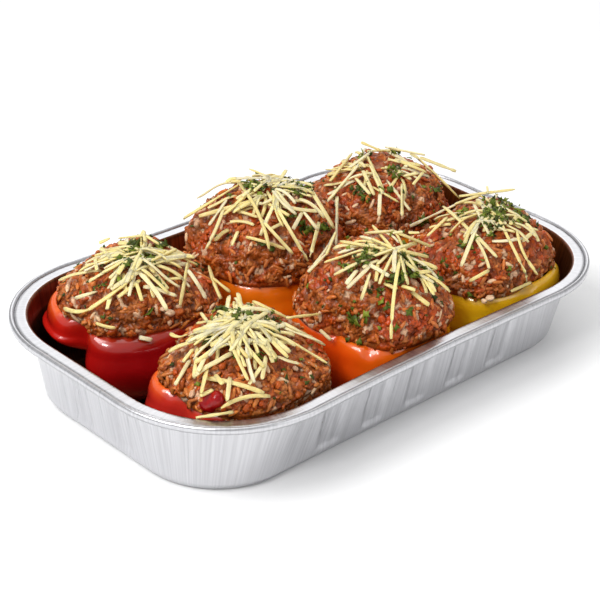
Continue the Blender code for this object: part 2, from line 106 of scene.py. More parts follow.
# Section of the rim, as (distance out from the lip, height): flange, groove, rolled bead, turned-down skirt.
RIM_SECTION = (
    (0.25, 46.45),
    (0.9, 46.75),
    (2.0, 46.75),
    (3.4, 46.7),
    (4.8, 46.7),
    (5.8, 46.75),
    (6.3, 46.6),
    (6.65, 46.15),
    (6.95, 46.2),
    (7.3, 46.8),
    (7.8, 47.45),
    (8.4, 47.65),
    (9.0, 47.3),
    (9.25, 46.6),
    (9.3, 45.6),
    (9.15, 44.6),
)
LIP_RINGS = 2

# Pepper halves, as in the solids.
GAP = 0.4
PEPPER_FLOOR = 0.9
PEPPER_SQUARENESS = 2.5
FLESH = 6.0
WALL_CLEARANCE = 2.5
CLEAR_OF_RIM = 49.2
PEPPER_STEPS = 160
SKIN_LEVELS = ((0.0, 0.0, 0.0), (0.5, 0.03, 0.5), (0.8, 0.17, 1.0), (0.95, 0.4, 1.0), (1.0, 0.72, 1.0),
               (0.955, 1.0, 0.9))
HOLLOW_LEVELS = ((0.955, 1.0, 0.9), (0.975, 0.55, 0.9), (0.72, 0.2, 0.5))
HOLLOW_FLOOR = 7.5
RAISED_FULL = 0.7
SKIN_ROWS = 36
HOLLOW_ROWS = 6
# The cut edge rounds over by this much inward and downward, and further inward where the heap is set back.
SHOULDER = (4.6, 10.0)
SET_BACK_SHOULDER = 9.5
# The shoulder's rows, as (degrees round the curve, share of flesh colour where the cut is bare).
SHOULDER_ROWS = ((12.0, 0.0), (24.0, 0.08), (36.0, 0.22), (48.0, 0.45), (60.0, 0.7), (75.0, 0.9), (90.0, 1.0))
# Then the flesh, as (distance in from the skin, distance below the cut).
FLESH_ROWS = ((5.1, 0.1), (5.6, 0.6))
HOLLOW_BELOW_CUT = 2.0
SKIN_WOBBLE = 0.9
SKIN_WOBBLE_SPACING = 24.0
# The wobble fades like this in the last rows under the cut edge.
WOBBLE_FADE = (0.75, 0.5, 0.25, 0.1)
# A heap that stops this far short of the skin is set back, and from the last pair on the cut is bare.
SET_BACK_FROM = (1.5, 3.8)
SET_BACK_UNTIL = (4.2, 4.9)
BARE_FROM = (4.1, 5.0)
# Outward of a pepper is away from a point at this height over its middle.
OUTWARD_FROM = 30.0
# Degrees round the pepper over which its second colour fades.
SECOND_COLOUR_WIDTH = 62.0
# Where a heap is covering the cut, the cut edge takes only this share of the flesh's colour.
COVERED_FLESH = 0.25

# Heaps, as in the solids, with the fine surface on top.
HEAP_BULGE = 0.035
HEAP_GROOVES = 0.54
FLANK_WIDTH = 55.0
LUMP_HEIGHT = 2.6
LUMP_SPACING = 15.0
LUMP_UPWARD = 18.0
LUMP_FULL = 0.25
HEAP_GRID = 168
# The fine surface lies this far inside the solids' one, and what is strewn on it makes up for that.
SUNK = 0.7
CRUMB_SPACING = 2.7
CRUMB_RELIEF = 1.25
CRUMB_STEP = 0.5
CLUMP_SPACING = 5.2
CLUMP_RELIEF = 2.3
FINE_SPACING = 1.15
FINE_RELIEF = 0.75
WARP_SPACING = 2.3
WARP_REACH = 1.9
WARP_OFFSETS = (11.0, 47.0, 83.0)
DOME_POWER = 2.5
DOME_MIDDLE = 0.6
EDGE_FADE = 0.05
# The core below the cut, as (share of the heap's edge, depth below the cut).
CORE_RINGS = ((0.93, 3.0), (0.86, 16.0), (0.62, 30.0))

# Loose pieces.
LOOSE_CRUMBS = 250
SPILLED_CRUMBS = 380
SPILLED_GRAINS = 50
GRAINS = 200
GRAIN_LENGTH = 6.9
GRAIN_RADIUS = 1.1
SHRED_WIDTH = 2.0
SHRED_THICKNESS = 0.95
SHRED_POINTS = 13
# A shred bends no tighter than over a curve of this radius.
SHRED_BEND_RADIUS = 15.0
# A shred's section, as shares of its half width and half thickness.
SHRED_SECTION = ((1.0, -0.55), (1.0, 0.55), (0.72, 1.0), (-0.72, 1.0),
                 (-1.0, 0.55), (-1.0, -0.55), (-0.72, -1.0), (0.72, -1.0))
# Widths and thicknesses vary by these shares, and a shred narrows to these at its start and end.
SHRED_WIDTHS = (0.8, 1.15)
SHRED_THICKNESSES = (0.8, 1.3)
SHRED_START = (0.55, 0.95)
SHRED_END = (0.45, 0.9)
# Degrees that a shred is rolled at its start, and twisted from there on, either way.
SHRED_ROLL = 25
SHRED_TWIST = 30
SHRED_LENGTHS = (9, 25)
# Spread of a loose shred's heading in radians, and of its bend in radians for each millimetre.
SHRED_HEADING = 0.8
SHRED_BEND = 0.012
SHRED_MARGIN = 3
LOOSE_FLAKES = 45
FLAKE_THICKNESS = 0.28
FLAKE_CORNERS = 9
FLAKE_TILT = 0.4
FLAKE_LENGTHS = (1.0, 1.8)
FLAKE_CURL = 0.35
FLAKE_LIFT = 1.0
GRAIN_TILT = 0.18
GRAIN_LENGTHS = (0.7, 1.1)
GRAIN_RADII = (0.85, 1.2)
GRAIN_BEND = 0.25
GRAIN_SUNK = (-0.75, 0.1)
CRUMB_TILT = 0.3
# Half lengths of loose crumbs in millimetres, then the shares of it that their sides take.
CRUMB_SIZES = (0.7, 1.6)
LARGE_CRUMB = 1.5
LARGE_CRUMB_SHARE = 0.12
CRUMB_LONG = (1.0, 1.6)
CRUMB_WIDE = (0.8, 1.1)
CRUMB_THICK = (0.55, 0.85)
KNOB_SIZE = 0.55
KNOB_SPACING = 0.6
NEAR_HEAP = 62.0
HIGHEST = CAD_BOX[1][2] / MM - 0.3
# No piece reaches nearer than this to the outside of the solids' box.
INSIDE_BOX = 0.05
# Shreds pile up no higher than this over the heap.
PILE_HEIGHT = 3.6
# No loose shred lies nearer than this to the level of the pepper's cut.
PILE_LOWEST = 7.0
# The loose pile of shreds: how far it spreads, and how far off the crown's middle it lies.
PILE_SPREAD = 11.0
PILE_SHIFT = (-4.0, -6.0)
# Shreds stay inside this oblong, as half length and half width.
SHRED_LIMITS = (146.0, 88.0)
FAR_BELOW = -1000.0

MAP_CELL = 0.9
MAP_REACH = (165.0, 105.0)
MAP_BLURS = 6
# Rays through pixels are followed from the first height down to the second.
SIGHT_HEIGHTS = (95.0, 30.0)
SIGHT_STEPS = 420


@dataclass(frozen=True)
class Portion:
    """One filled pepper half: the solids' own values, then what only the looks need.

    Flanks, grooves, raised and edges are rows that start with a direction in degrees. The skin is two colours
    and the direction of the second.
    """

    number: int
    middle: tuple
    half: tuple
    cell: tuple
    cut: float
    top: float
    fullness: float
    lean: tuple
    flanks: tuple
    grooves: tuple
    raised: tuple
    edges: tuple
    skin: tuple
    flesh: tuple
    redness: float
    random_shreds: int


# How far short of the skin a heap stops: bare cut, set back a little, hanging over, and elsewhere.
BARE = 5.2
SET_BACK = 4.0
SPILL = -2.2
EDGE_REST = 0.4

# Colours are linear.
BRIGHT_RED = (0.58, 0.010, 0.005)
CRIMSON = (0.30, 0.002, 0.004)
PINK_RED = (0.62, 0.03, 0.02)
ORANGE = (0.90, 0.20, 0.004)
# Painted shade: portion 5's orange, redder and darker on its shaded left side.
RED_ORANGE = (0.80, 0.075, 0.003)
YELLOW = (1.0, 0.57, 0.010)
RED_FLESH = (0.86, 0.13, 0.010)
ORANGE_FLESH = (0.78, 0.14, 0.006)
YELLOW_FLESH = (0.92, 0.52, 0.016)

BROWN = (0.42, 0.082, 0.006)
GREY_BROWN = (0.38, 0.112, 0.022)
TOMATO = (0.53, 0.046, 0.003)
TAN = (0.66, 0.24, 0.060)
PALE = (0.80, 0.58, 0.38)
SHADE = (0.17, 0.032, 0.006)
# Crumbs of other colours, as (share of crumbs up to and with this kind, colour, share of it in the crumb).
CRUMB_KINDS = ((0.10, PALE, 0.7), (0.22, TAN, 0.6), (0.3, SHADE, 0.55))
PATCH_SPACING = 17.0
GREY_SPACING = 9.0
GREY_OFFSET = Vector((40.0, 0.0, 0.0))
TOMATO_SHARE = 0.6
PLAIN_GRAIN = (0.78, 0.54, 0.33)
PARSLEY_KINDS = ((0.25, (0.040, 0.058, 0.004)), (0.75, (0.080, 0.112, 0.007)), (1.0, (0.19, 0.23, 0.022)))

PORTIONS = (
    Portion(1, (-86.0, 43.0), (46.0, 42.0), (-160.0, -40.6, 0.6, 95.0), 47.0, 77.5, 0.9, (0.0, -2.0),
            ((135.0, 1.7), (-45.0, 2.8)),
            ((184.5, 0.27, 9.5), (208.0, -0.06, 14.0), (122.0, -0.07, 24.0), (62.0, 0.07, 15.0),
             (-70.0, 0.05, 14.0)),
            ((145.0, 50.0, 29.0),), ((140.0, 34.0, BARE), (233.0, 32.0, SET_BACK)),
            (BRIGHT_RED, CRIMSON, 245.0), RED_FLESH, 0.1, 66),
    Portion(2, (4.0, 42.5), (44.0, 41.0), (-40.0, 48.6, 0.6, 95.0), 46.0, 86.5, 1.4, (1.0, -1.0),
            ((135.0, -0.5), (-45.0, -0.6)),
            ((190.0, 0.06, 14.0), (-58.0, 0.06, 14.0), (75.0, 0.07, 15.0)), (), ((-78.0, 40.0, SPILL),),
            (ORANGE, ORANGE, 0.0), ORANGE_FLESH, 0.25, 48),
    Portion(3, (94.0, 42.5), (45.0, 41.5), (49.2, 160.0, 0.6, 95.0), 46.0, 72.5, 0.45, (-3.0, 0.0),
            ((135.0, 1.3), (-45.0, 0.3)),
            ((12.0, 0.08, 14.0), (110.0, 0.07, 15.0), (-60.0, 0.05, 14.0)), (), ((-30.0, 16.0, BARE),),
            (ORANGE, YELLOW, -30.0), YELLOW_FLESH, 0.35, 42),
    Portion(4, (-91.5, -43.5), (46.5, 42.0), (-160.0, -44.6, -95.0, -0.6), 45.5, 73.5, 0.7, (0.0, -2.0),
            ((135.0, 2.4), (-45.0, 3.0)),
            ((184.0, 0.13, 12.0), (122.0, 0.16, 20.0), (-80.0, 0.05, 14.0), (72.0, 0.06, 15.0)), (),
            ((158.0, 20.0, BARE), (116.0, 26.0, SET_BACK), (-88.0, 55.0, SPILL)),
            (BRIGHT_RED, PINK_RED, 200.0), RED_FLESH, 0.05, 92),
    # Portion 5's second colour, redder and darker towards its left side, is painted shade.
    Portion(5, (2.5, -45.0), (41.0, 42.5), (-44.0, 43.0, -95.0, -0.6), 45.0, 83.5, 0.7, (7.0, -7.0),
            ((-45.0, 2.0),),
            ((96.0, 0.07, 15.0), (20.0, 0.06, 14.0), (190.0, 0.1, 14.0), (-48.0, 0.04, 13.0)), (),
            ((205.0, 22.0, BARE),),
            (ORANGE, RED_ORANGE, 185.0), ORANGE_FLESH, 0.3, 38),
    Portion(6, (90.0, -43.0), (46.5, 42.0), (43.4, 160.0, -95.0, -0.6), 45.0, 75.5, 0.55, (1.0, -4.0),
            ((135.0, 1.9), (-45.0, 1.1)),
            ((8.0, 0.07, 14.0), (88.0, 0.06, 15.0), (200.0, 0.06, 14.0)), (), ((-62.0, 42.0, BARE),),
            (YELLOW, YELLOW, 0.0), YELLOW_FLESH, 0.15, 38),
)

# Where a heap hangs over its pepper's side, by number: share of the spill's width, and how far down in mm.
SPILL_REACH = {4: (0.95, 4.5), 2: (0.55, 1.6)}

# Whitish bits in the heaps, by pixels of the photograph's frame: middle and radius in millimetres.
SEEN_BLOBS = {
    1: ((170, 313, 2.6), (163, 309, 1.7)),
    6: ((490, 298, 2.4), (484, 301, 1.7), (466, 265, 1.3), (474, 263, 1.3)),
}

# Shreds that stand out in the photograph, by pixels of its frame: start, end and how far the middle bows out.
SEEN_SHREDS = {
    1: (
        (64, 309, 90, 310, 3), (75, 299, 97, 292, 0), (88, 311, 132, 279, 1), (107, 310, 111, 294, 0),
        (111, 290, 165, 258, -1), (89, 282, 109, 270, 0), (95, 259, 97, 271, 0), (101, 249, 113, 261, 0),
        (110, 279, 120, 269, 0), (132, 271, 145, 244, 0), (118, 275, 129, 257, 0), (140, 274, 167, 311, -2),
        (118, 298, 140, 281, 0), (129, 297, 132, 282, 0), (142, 302, 136, 283, 0), (144, 232, 145, 242, 0),
        (119, 239, 145, 236, 0), (145, 236, 159, 245, 0), (99, 244, 110, 239, 0), (136, 271, 187, 258, -2),
        (140, 262, 191, 256, 0), (180, 306, 188, 263, 0), (187, 270, 206, 300, -1), (209, 267, 221, 300, 1),
        (213, 279, 230, 293, 0), (166, 280, 182, 279, 0), (96, 324, 116, 329, 1), (139, 338, 152, 341, 0),
        (124, 256, 150, 248, 0), (150, 262, 176, 250, 0), (160, 243, 188, 257, 0), (147, 250, 168, 263, 0),
    ),
    2: (
        (184, 219, 241, 184, 0), (199, 217, 255, 201, 0), (209, 226, 227, 200, 0), (206, 250, 224, 209, 1),
        (239, 184, 269, 250, -5), (267, 192, 308, 262, 0), (230, 223, 254, 226, -2), (246, 238, 285, 250, -1),
        (262, 221, 293, 255, 0), (233, 210, 258, 218, 0), (293, 230, 304, 210, 0), (304, 213, 318, 231, 0),
        (310, 258, 319, 223, 0), (337, 198, 336, 247, 0), (308, 186, 334, 229, 0), (308, 272, 336, 232, 2),
        (226, 183, 237, 175, 0), (236, 178, 262, 172, 0), (250, 170, 276, 180, 0), (262, 172, 293, 178, 0),
        (276, 186, 286, 171, 0), (254, 192, 266, 180, 0), (262, 205, 290, 193, 0), (283, 207, 320, 212, 1),
        (283, 190, 312, 197, 0), (270, 230, 286, 222, 0),
    ),
    3: (
        (326, 170, 356, 171, 0), (330, 182, 352, 154, 0), (326, 204, 367, 156, 0), (361, 143, 380, 151, 0),
        (367, 156, 383, 191, 0), (370, 167, 383, 195, 0), (387, 181, 410, 211, 0), (372, 187, 399, 203, 0),
        (363, 172, 374, 196, 0), (356, 179, 370, 195, 0), (402, 185, 402, 217, 0), (380, 195, 379, 217, 0),
        (337, 198, 337, 227, 0), (420, 158, 456, 172, 0), (412, 154, 459, 199, -1), (385, 148, 425, 156, 0),
        (395, 160, 426, 173, 0), (404, 177, 417, 174, 0), (413, 185, 423, 173, 0), (390, 189, 398, 177, 0),
        (350, 168, 372, 152, 0), (367, 152, 400, 151, 0), (388, 160, 420, 166, 0),
    ),
    4: (
        (170, 334, 187, 335, 3), (186, 343, 204, 328, 0), (194, 346, 219, 326, 0), (175, 386, 190, 361, 0),
        (183, 363, 193, 350, 0), (194, 379, 197, 349, 0), (198, 372, 207, 354, 0), (209, 357, 226, 335, 0),
        (225, 322, 229, 297, 0), (238, 294, 242, 309, 0), (201, 314, 210, 326, 0), (218, 312, 234, 318, 0),
        (253, 302, 288, 319, 0), (282, 323, 325, 346, 0), (280, 327, 322, 343, 0), (284, 338, 327, 364, 0),
        (267, 334, 290, 353, 0), (278, 357, 299, 364, 1), (248, 349, 264, 368, 0), (233, 341, 248, 359, 0),
        (266, 357, 262, 380, 0), (263, 365, 249, 385, 0), (245, 367, 241, 356, 0), (226, 335, 248, 381, 0),
        (207, 379, 264, 394, -2), (215, 376, 223, 385, 0), (230, 378, 227, 402, 0), (221, 409, 270, 397, -5),
        (207, 370, 201, 394, 0), (200, 397, 213, 391, 0), (196, 419, 233, 413, 0), (286, 319, 320, 315, 0),
        (212, 345, 245, 320, 0), (205, 335, 236, 318, 0), (230, 352, 252, 322, 0), (240, 330, 268, 312, 0),
        (215, 330, 262, 326, 0), (246, 345, 272, 326, 0),
    ),
    5: (
        (308, 273, 328, 253, 0), (326, 256, 336, 233, 0), (340, 242, 386, 250, 0), (338, 254, 354, 249, 0),
        (334, 276, 412, 245, -3), (347, 289, 371, 266, 0), (346, 285, 357, 271, 0), (361, 301, 370, 274, 0),
        (400, 259, 391, 340, 2), (373, 227, 391, 248, 0), (391, 231, 432, 248, 0), (393, 231, 403, 222, 0),
        (365, 234, 393, 232, 0), (409, 226, 420, 225, 0), (384, 284, 397, 290, 0), (417, 274, 432, 272, 0),
        (425, 275, 435, 293, 0), (412, 293, 429, 306, 0), (409, 261, 414, 272, 0), (370, 266, 389, 277, 0),
        (320, 331, 331, 341, 0), (395, 250, 428, 258, 0), (372, 240, 400, 253, 0), (402, 287, 415, 291, 0),
    ),
    6: (
        (410, 227, 471, 198, 0), (459, 197, 515, 190, 0), (427, 237, 447, 218, 0), (443, 207, 472, 234, -1),
        (472, 234, 489, 269, -2), (461, 267, 479, 221, 0), (471, 235, 497, 195, 0), (474, 205, 489, 235, 0),
        (471, 231, 497, 258, 0), (498, 218, 530, 283, 0), (492, 242, 522, 239, 1), (522, 242, 534, 232, 0),
        (517, 232, 539, 276, 4), (511, 292, 531, 283, 0), (469, 282, 489, 271, 0), (487, 187, 488, 195, 0),
        (476, 202, 500, 217, 0), (510, 225, 517, 217, 0), (455, 205, 480, 196, 0), (500, 207, 520, 217, 0),
        (490, 222, 506, 232, 0),
    ),
}

# Where parsley lies thick, by pixels of the photograph's frame: middle, reach and number of flakes.
SEEN_PARSLEY = {
    1: ((121, 262, 10, 26), (131, 249, 9, 26), (150, 258, 12, 24), (163, 245, 9, 12), (102, 289, 8, 5),
        (160, 280, 9, 5), (163, 289, 7, 4), (108, 320, 7, 4), (150, 313, 4, 2)),
    2: ((256, 183, 12, 34), (283, 182, 10, 20), (302, 190, 12, 34), (290, 214, 8, 8), (306, 228, 10, 18),
        (324, 231, 8, 12), (262, 247, 5, 3)),
    3: ((398, 149, 9, 26), (366, 158, 8, 8), (395, 173, 9, 18), (357, 193, 8, 10), (366, 200, 6, 7),
        (436, 190, 8, 8), (422, 222, 6, 6), (388, 194, 8, 6)),
    4: ((222, 318, 14, 20), (240, 316, 12, 22), (268, 320, 14, 26), (272, 332, 8, 10), (215, 345, 9, 8),
        (258, 355, 7, 6), (236, 355, 6, 3), (205, 335, 10, 8)),
    5: ((360, 262, 9, 22), (370, 252, 10, 14), (408, 262, 12, 34), (395, 279, 11, 34), (418, 270, 12, 24),
        (345, 268, 8, 10), (437, 280, 8, 8), (375, 292, 8, 8), (388, 307, 5, 4), (410, 312, 5, 4),
        (358, 318, 12, 10), (352, 345, 8, 6)),
    6: ((497, 206, 14, 40), (490, 222, 13, 30), (515, 214, 13, 22), (526, 224, 9, 14), (492, 238, 6, 8),
        (464, 215, 7, 7), (422, 224, 6, 8), (463, 245, 6, 8), (474, 252, 5, 5), (508, 271, 4, 4),
        (470, 300, 8, 8), (455, 297, 4, 3), (552, 271, 4, 2)),
}


class PhotoView:
    """The photograph's camera, for putting things under a pixel of it."""

    def __init__(self):
        azimuth = math.radians(CAMERA_AZIMUTH)
        elevation = math.radians(CAMERA_ELEVATION)
        roll = math.radians(CAMERA_ROLL)
        back = np.array((math.sin(azimuth) * math.cos(elevation), -math.cos(azimuth) * math.cos(elevation),
                         math.sin(elevation)))
        level = np.array((math.cos(azimuth), math.sin(azimuth), 0.0))
        rise = np.cross(back, level)
        self.back = back
        self.right = level * math.cos(roll) + rise * math.sin(roll)
        self.up = rise * math.cos(roll) - level * math.sin(roll)
        self.place = np.array(CAMERA_TARGET) + back * CAMERA_DISTANCE
        self.focal = CAMERA_LENS / CAMERA_SENSOR * PHOTO_SIDE
        self.middle = (PHOTO_SIDE * (0.5 - CAMERA_SHIFT[0]), PHOTO_SIDE * (0.5 + CAMERA_SHIFT[1]))

    def rays(self, x, y):
        """Directions from the camera through pixels, each with a depth of 1 along the view."""
        across = (np.asarray(x, float) - self.middle[0]) / self.focal
        upward = -(np.asarray(y, float) - self.middle[1]) / self.focal
        return across[..., None] * self.right + upward[..., None] * self.up - self.back

    def make_camera(self):
        data = bpy.data.cameras.new("camera")
        data.lens = CAMERA_LENS
        data.sensor_width = CAMERA_SENSOR
        data.shift_x, data.shift_y = CAMERA_SHIFT
        data.clip_start = 0.01
        camera = bpy.data.objects.new("camera", data)
        turn = Matrix((self.right, self.up, self.back)).transposed().to_4x4()
        camera.matrix_world = Matrix.Translation(Vector(self.place * MM)) @ turn
        bpy.context.scene.collection.objects.link(camera)
        bpy.context.scene.camera = camera


def smooth_step(low, high, value):
    share = np.clip((value - low) / (high - low), 0.0, 1.0)
    return share * share * (3 - 2 * share)


def normalise(vectors):
    length = np.linalg.norm(vectors, axis=-1, keepdims=True)
    return vectors / np.maximum(length, 1e-9)


def spline(points, count):
    """Points along a smooth curve through the given ones, evenly spaced in its parameter."""
    points = np.array(points, float)
    padded = np.vstack((2 * points[0] - points[1], points, 2 * points[-1] - points[-2]))
    along = np.linspace(0, len(points) - 1, count)
    span = np.minimum(along.astype(int), len(points) - 2)
    t = (along - span)[:, None]
    a, b, c, d = (padded[span + shift] for shift in range(4))
    return 0.5 * (2 * b + (c - a) * t + (2 * a - 5 * b + 4 * c - d) * t**2 + (3 * b - a - 3 * c + d) * t**3)


def noise_at(points, spacing, offset=0.0):
    """Smooth noise at many points."""
    scaled = (points / spacing + offset).reshape(-1, 3)
    return np.array([noise.noise(Vector(point)) for point in scaled]).reshape(points.shape[:-1])


class Soup:
    """Vertices, faces and colours of one joined mesh, gathered piece by piece."""

    def __init__(self):
        self.points = []
        self.quads = []
        self.triangles = []
        self.tints = []
        self.count = 0

    def add(self, points, quads=None, triangles=None, tint=(1.0, 1.0, 1.0)):
        points = np.asarray(points, float).reshape(-1, 3)
        if quads is not None:
            self.quads.append(np.asarray(quads) + self.count)
        if triangles is not None:
            self.triangles.append(np.asarray(triangles) + self.count)
        self.points.append(points)
        self.tints.append(np.broadcast_to(np.asarray(tint, float), points.shape))
        self.count += len(points)

    def build(self, name, materials):
        """Make the object, in metres. Quads come before triangles."""
        quads = np.concatenate(self.quads) if self.quads else np.zeros((0, 4), int)
        triangles = np.concatenate(self.triangles) if self.triangles else np.zeros((0, 3), int)
        mesh = bpy.data.meshes.new(name)
        low, high = np.array(CAD_BOX)
        points = np.clip(np.concatenate(self.points) * MM, low + INSIDE_BOX * MM, high - INSIDE_BOX * MM)
        mesh.vertices.add(len(points))
        mesh.vertices.foreach_set("co", points.ravel())
        corners = np.concatenate((quads.ravel(), triangles.ravel()))
        mesh.loops.add(len(corners))
        mesh.loops.foreach_set("vertex_index", corners.astype(np.int32))
        starts = np.concatenate((np.arange(len(quads)) * 4, len(quads) * 4 + np.arange(len(triangles)) * 3))
        mesh.polygons.add(len(starts))
        mesh.polygons.foreach_set("loop_start", starts.astype(np.int32))
        mesh.polygons.foreach_set("use_smooth", np.ones(len(starts), bool))
        mesh.update(calc_edges=True)
        tints = np.concatenate(self.tints)
        colours = mesh.attributes.new("tint", "FLOAT_COLOR", "POINT")
        colours.data.foreach_set("color", np.column_stack((tints, np.ones(len(tints)))).ravel())
        for material in materials:
            mesh.materials.append(material)
        thing = bpy.data.objects.new(name, mesh)
        bpy.context.scene.collection.objects.link(thing)
        return thing


def wrapped_quads(rows, columns):
    """Quads between rows of points that close round on themselves."""
    row = np.arange(rows - 1)[:, None] * columns
    here, following = round_indices(columns)
    below = row + columns
    return np.stack((row + here, row + following, below + following, below + here), -1).reshape(-1, 4)


def round_indices(count):
    """The numbers of the points in a ring, and of the one after each."""
    here = np.arange(count)
    return here, (here + 1) % count


def fan(middle, first, second):
    """Triangles from one middle point to pairs of others."""
    return np.stack((np.full(len(first), middle), first, second), -1)


def set_materials(thing, numbers):
    thing.data.polygons.foreach_set("material_index", np.asarray(numbers, np.int32))


def falloff(degrees, direction, width, power=2):
    """A share that is 1 in one direction and falls to either side over a width in degrees."""
    apart = (degrees - direction + 180.0) % 360.0 - 180.0
    return np.exp(-((apart / width) ** power))


def tray_shares(height):
    """Length, width, corner radius and bows of the tray wall's outer face at a height."""
    share = height / LIP_HEIGHT
    return (
        BASE_LENGTH + (LIP_LENGTH - BASE_LENGTH) * share,
        BASE_WIDTH + (LIP_WIDTH - BASE_WIDTH) * share,
        BASE_CORNER + (LIP_CORNER - BASE_CORNER) * share,
        SIDE_BOW * share,
        END_BOW * share,
    )


def inside_tray(x, y, height, clearance):
    """Move points in until they clear the tray's wall at their height."""
    length, width, corner, side_bow, end_bow = tray_shares(np.minimum(height, LIP_HEIGHT))
    half_x = length / 2
    half_y = width / 2
    bow = side_bow * np.maximum(0.0, 1 - (x / half_x) ** 2)
    limit_x = half_x - clearance - end_bow
    limit_y = half_y - clearance - bow
    x = np.clip(x, -limit_x, limit_x)
    y = np.clip(y, -limit_y, limit_y)
    over_x = np.abs(x) - (half_x - corner)
    over_y = np.abs(y) - (half_y - corner)
    reach = np.maximum(np.hypot(over_x, over_y), 1e-6)
    most = corner - clearance - bow / 2
    out = (over_x > 0) & (over_y > 0) & (reach > most)
    back = np.where(out, 1 - most / reach, 0.0)
    return x - np.copysign(over_x * back, x), y - np.copysign(over_y * back, y)


def pepper_radius(portion, degrees, grooved):
    """Distance from the middle to the pepper's widest outline, pulled in at the grooves between lobes."""
    turn = np.radians(degrees)
    wide = np.abs(np.cos(turn) / portion.half[0]) ** PEPPER_SQUARENESS
    deep = np.abs(np.sin(turn) / portion.half[1]) ** PEPPER_SQUARENESS
    radius = (wide + deep) ** (-1 / PEPPER_SQUARENESS)
    for direction, depth, width in portion.grooves:
        radius = radius * (1 - grooved * depth * falloff(degrees, direction, width))
    return radius


def place(portion, degrees, radius, height, clearance):
    """Points round a portion, kept in its own share of the tray and clear of the tray's wall."""
    turn = np.radians(degrees)
    left, right, front, back = portion.cell
    x = np.clip(portion.middle[0] + radius * np.cos(turn), left, right)
    y = np.clip(portion.middle[1] + radius * np.sin(turn), front, back)
    inner_x, inner_y = inside_tray(x, y, height, clearance)
    free = height >= CLEAR_OF_RIM
    return np.stack(np.broadcast_arrays(np.where(free, x, inner_x), np.where(free, y, inner_y), height), -1)


def heap_edge(portion, degrees):
    """How far short of the skin the heap's edge stops."""
    short = EDGE_REST
    for direction, width, distance in portion.edges:
        short = short + (distance - EDGE_REST) * falloff(degrees, direction, width, 4)
    return short


def heap_points(portion, degrees, rise):
    """Points on the smooth heap: rise runs from 0 at its edge to 1 at its top."""
    turn = rise * math.pi / 2
    full = pepper_radius(portion, degrees, HEAP_GROOVES) * SKIN_LEVELS[-1][0]
    power = portion.fullness
    for direction, extra in portion.flanks:
        power = power + extra * falloff(degrees, direction, FLANK_WIDTH)
    radius = (full - heap_edge(portion, degrees) * (1 - rise)) * np.maximum(np.cos(turn), 0.0) ** power
    radius = radius * (1 + HEAP_BULGE * np.sin(2 * turn))
    low = portion.cut + GAP
    height = low + (portion.top - low) * np.sin(turn)
    points = place(portion, degrees, radius, height, WALL_CLEARANCE)
    points[..., 0] += portion.lean[0] * rise
    points[..., 1] += portion.lean[1] * rise
    return points


def lumpy_heap(portion, degrees, rise):
    """The heap with its large lumps, as the solids have them."""
    points = heap_points(portion, degrees, rise)
    outward = points - np.array((*portion.middle, 0.0))
    outward[..., 2] = LUMP_UPWARD * rise
    strength = np.minimum(1.0, rise / LUMP_FULL)
    shift = LUMP_HEIGHT * strength * noise_at(points, LUMP_SPACING)
    return points + normalise(outward) * shift[..., None]


def disc_grid(count):
    """A square grid bent into a disc: each point's direction in degrees and distance from the middle."""
    steps = np.linspace(-1.0, 1.0, count + 1)
    u, v = np.meshgrid(steps, steps, indexing="ij")
    wide = np.abs(u) >= np.abs(v)
    radius = np.where(wide, np.abs(u), np.abs(v))
    safe_u = np.where(np.abs(u) < 1e-9, 1e-9, u)
    safe_v = np.where(np.abs(v) < 1e-9, 1e-9, v)
    turn = np.where(wide, np.pi / 4 * v / safe_u, np.pi / 2 - np.pi / 4 * u / safe_v)
    turn = turn + np.where(wide & (u < 0) | ~wide & (v < 0), np.pi, 0.0)
    return np.degrees(turn) % 360.0, radius


def grid_normals(points):
    """Outward normals of a grid of points."""
    along = np.gradient(points, axis=0)
    across = np.gradient(points, axis=1)
    return normalise(np.cross(along, across))


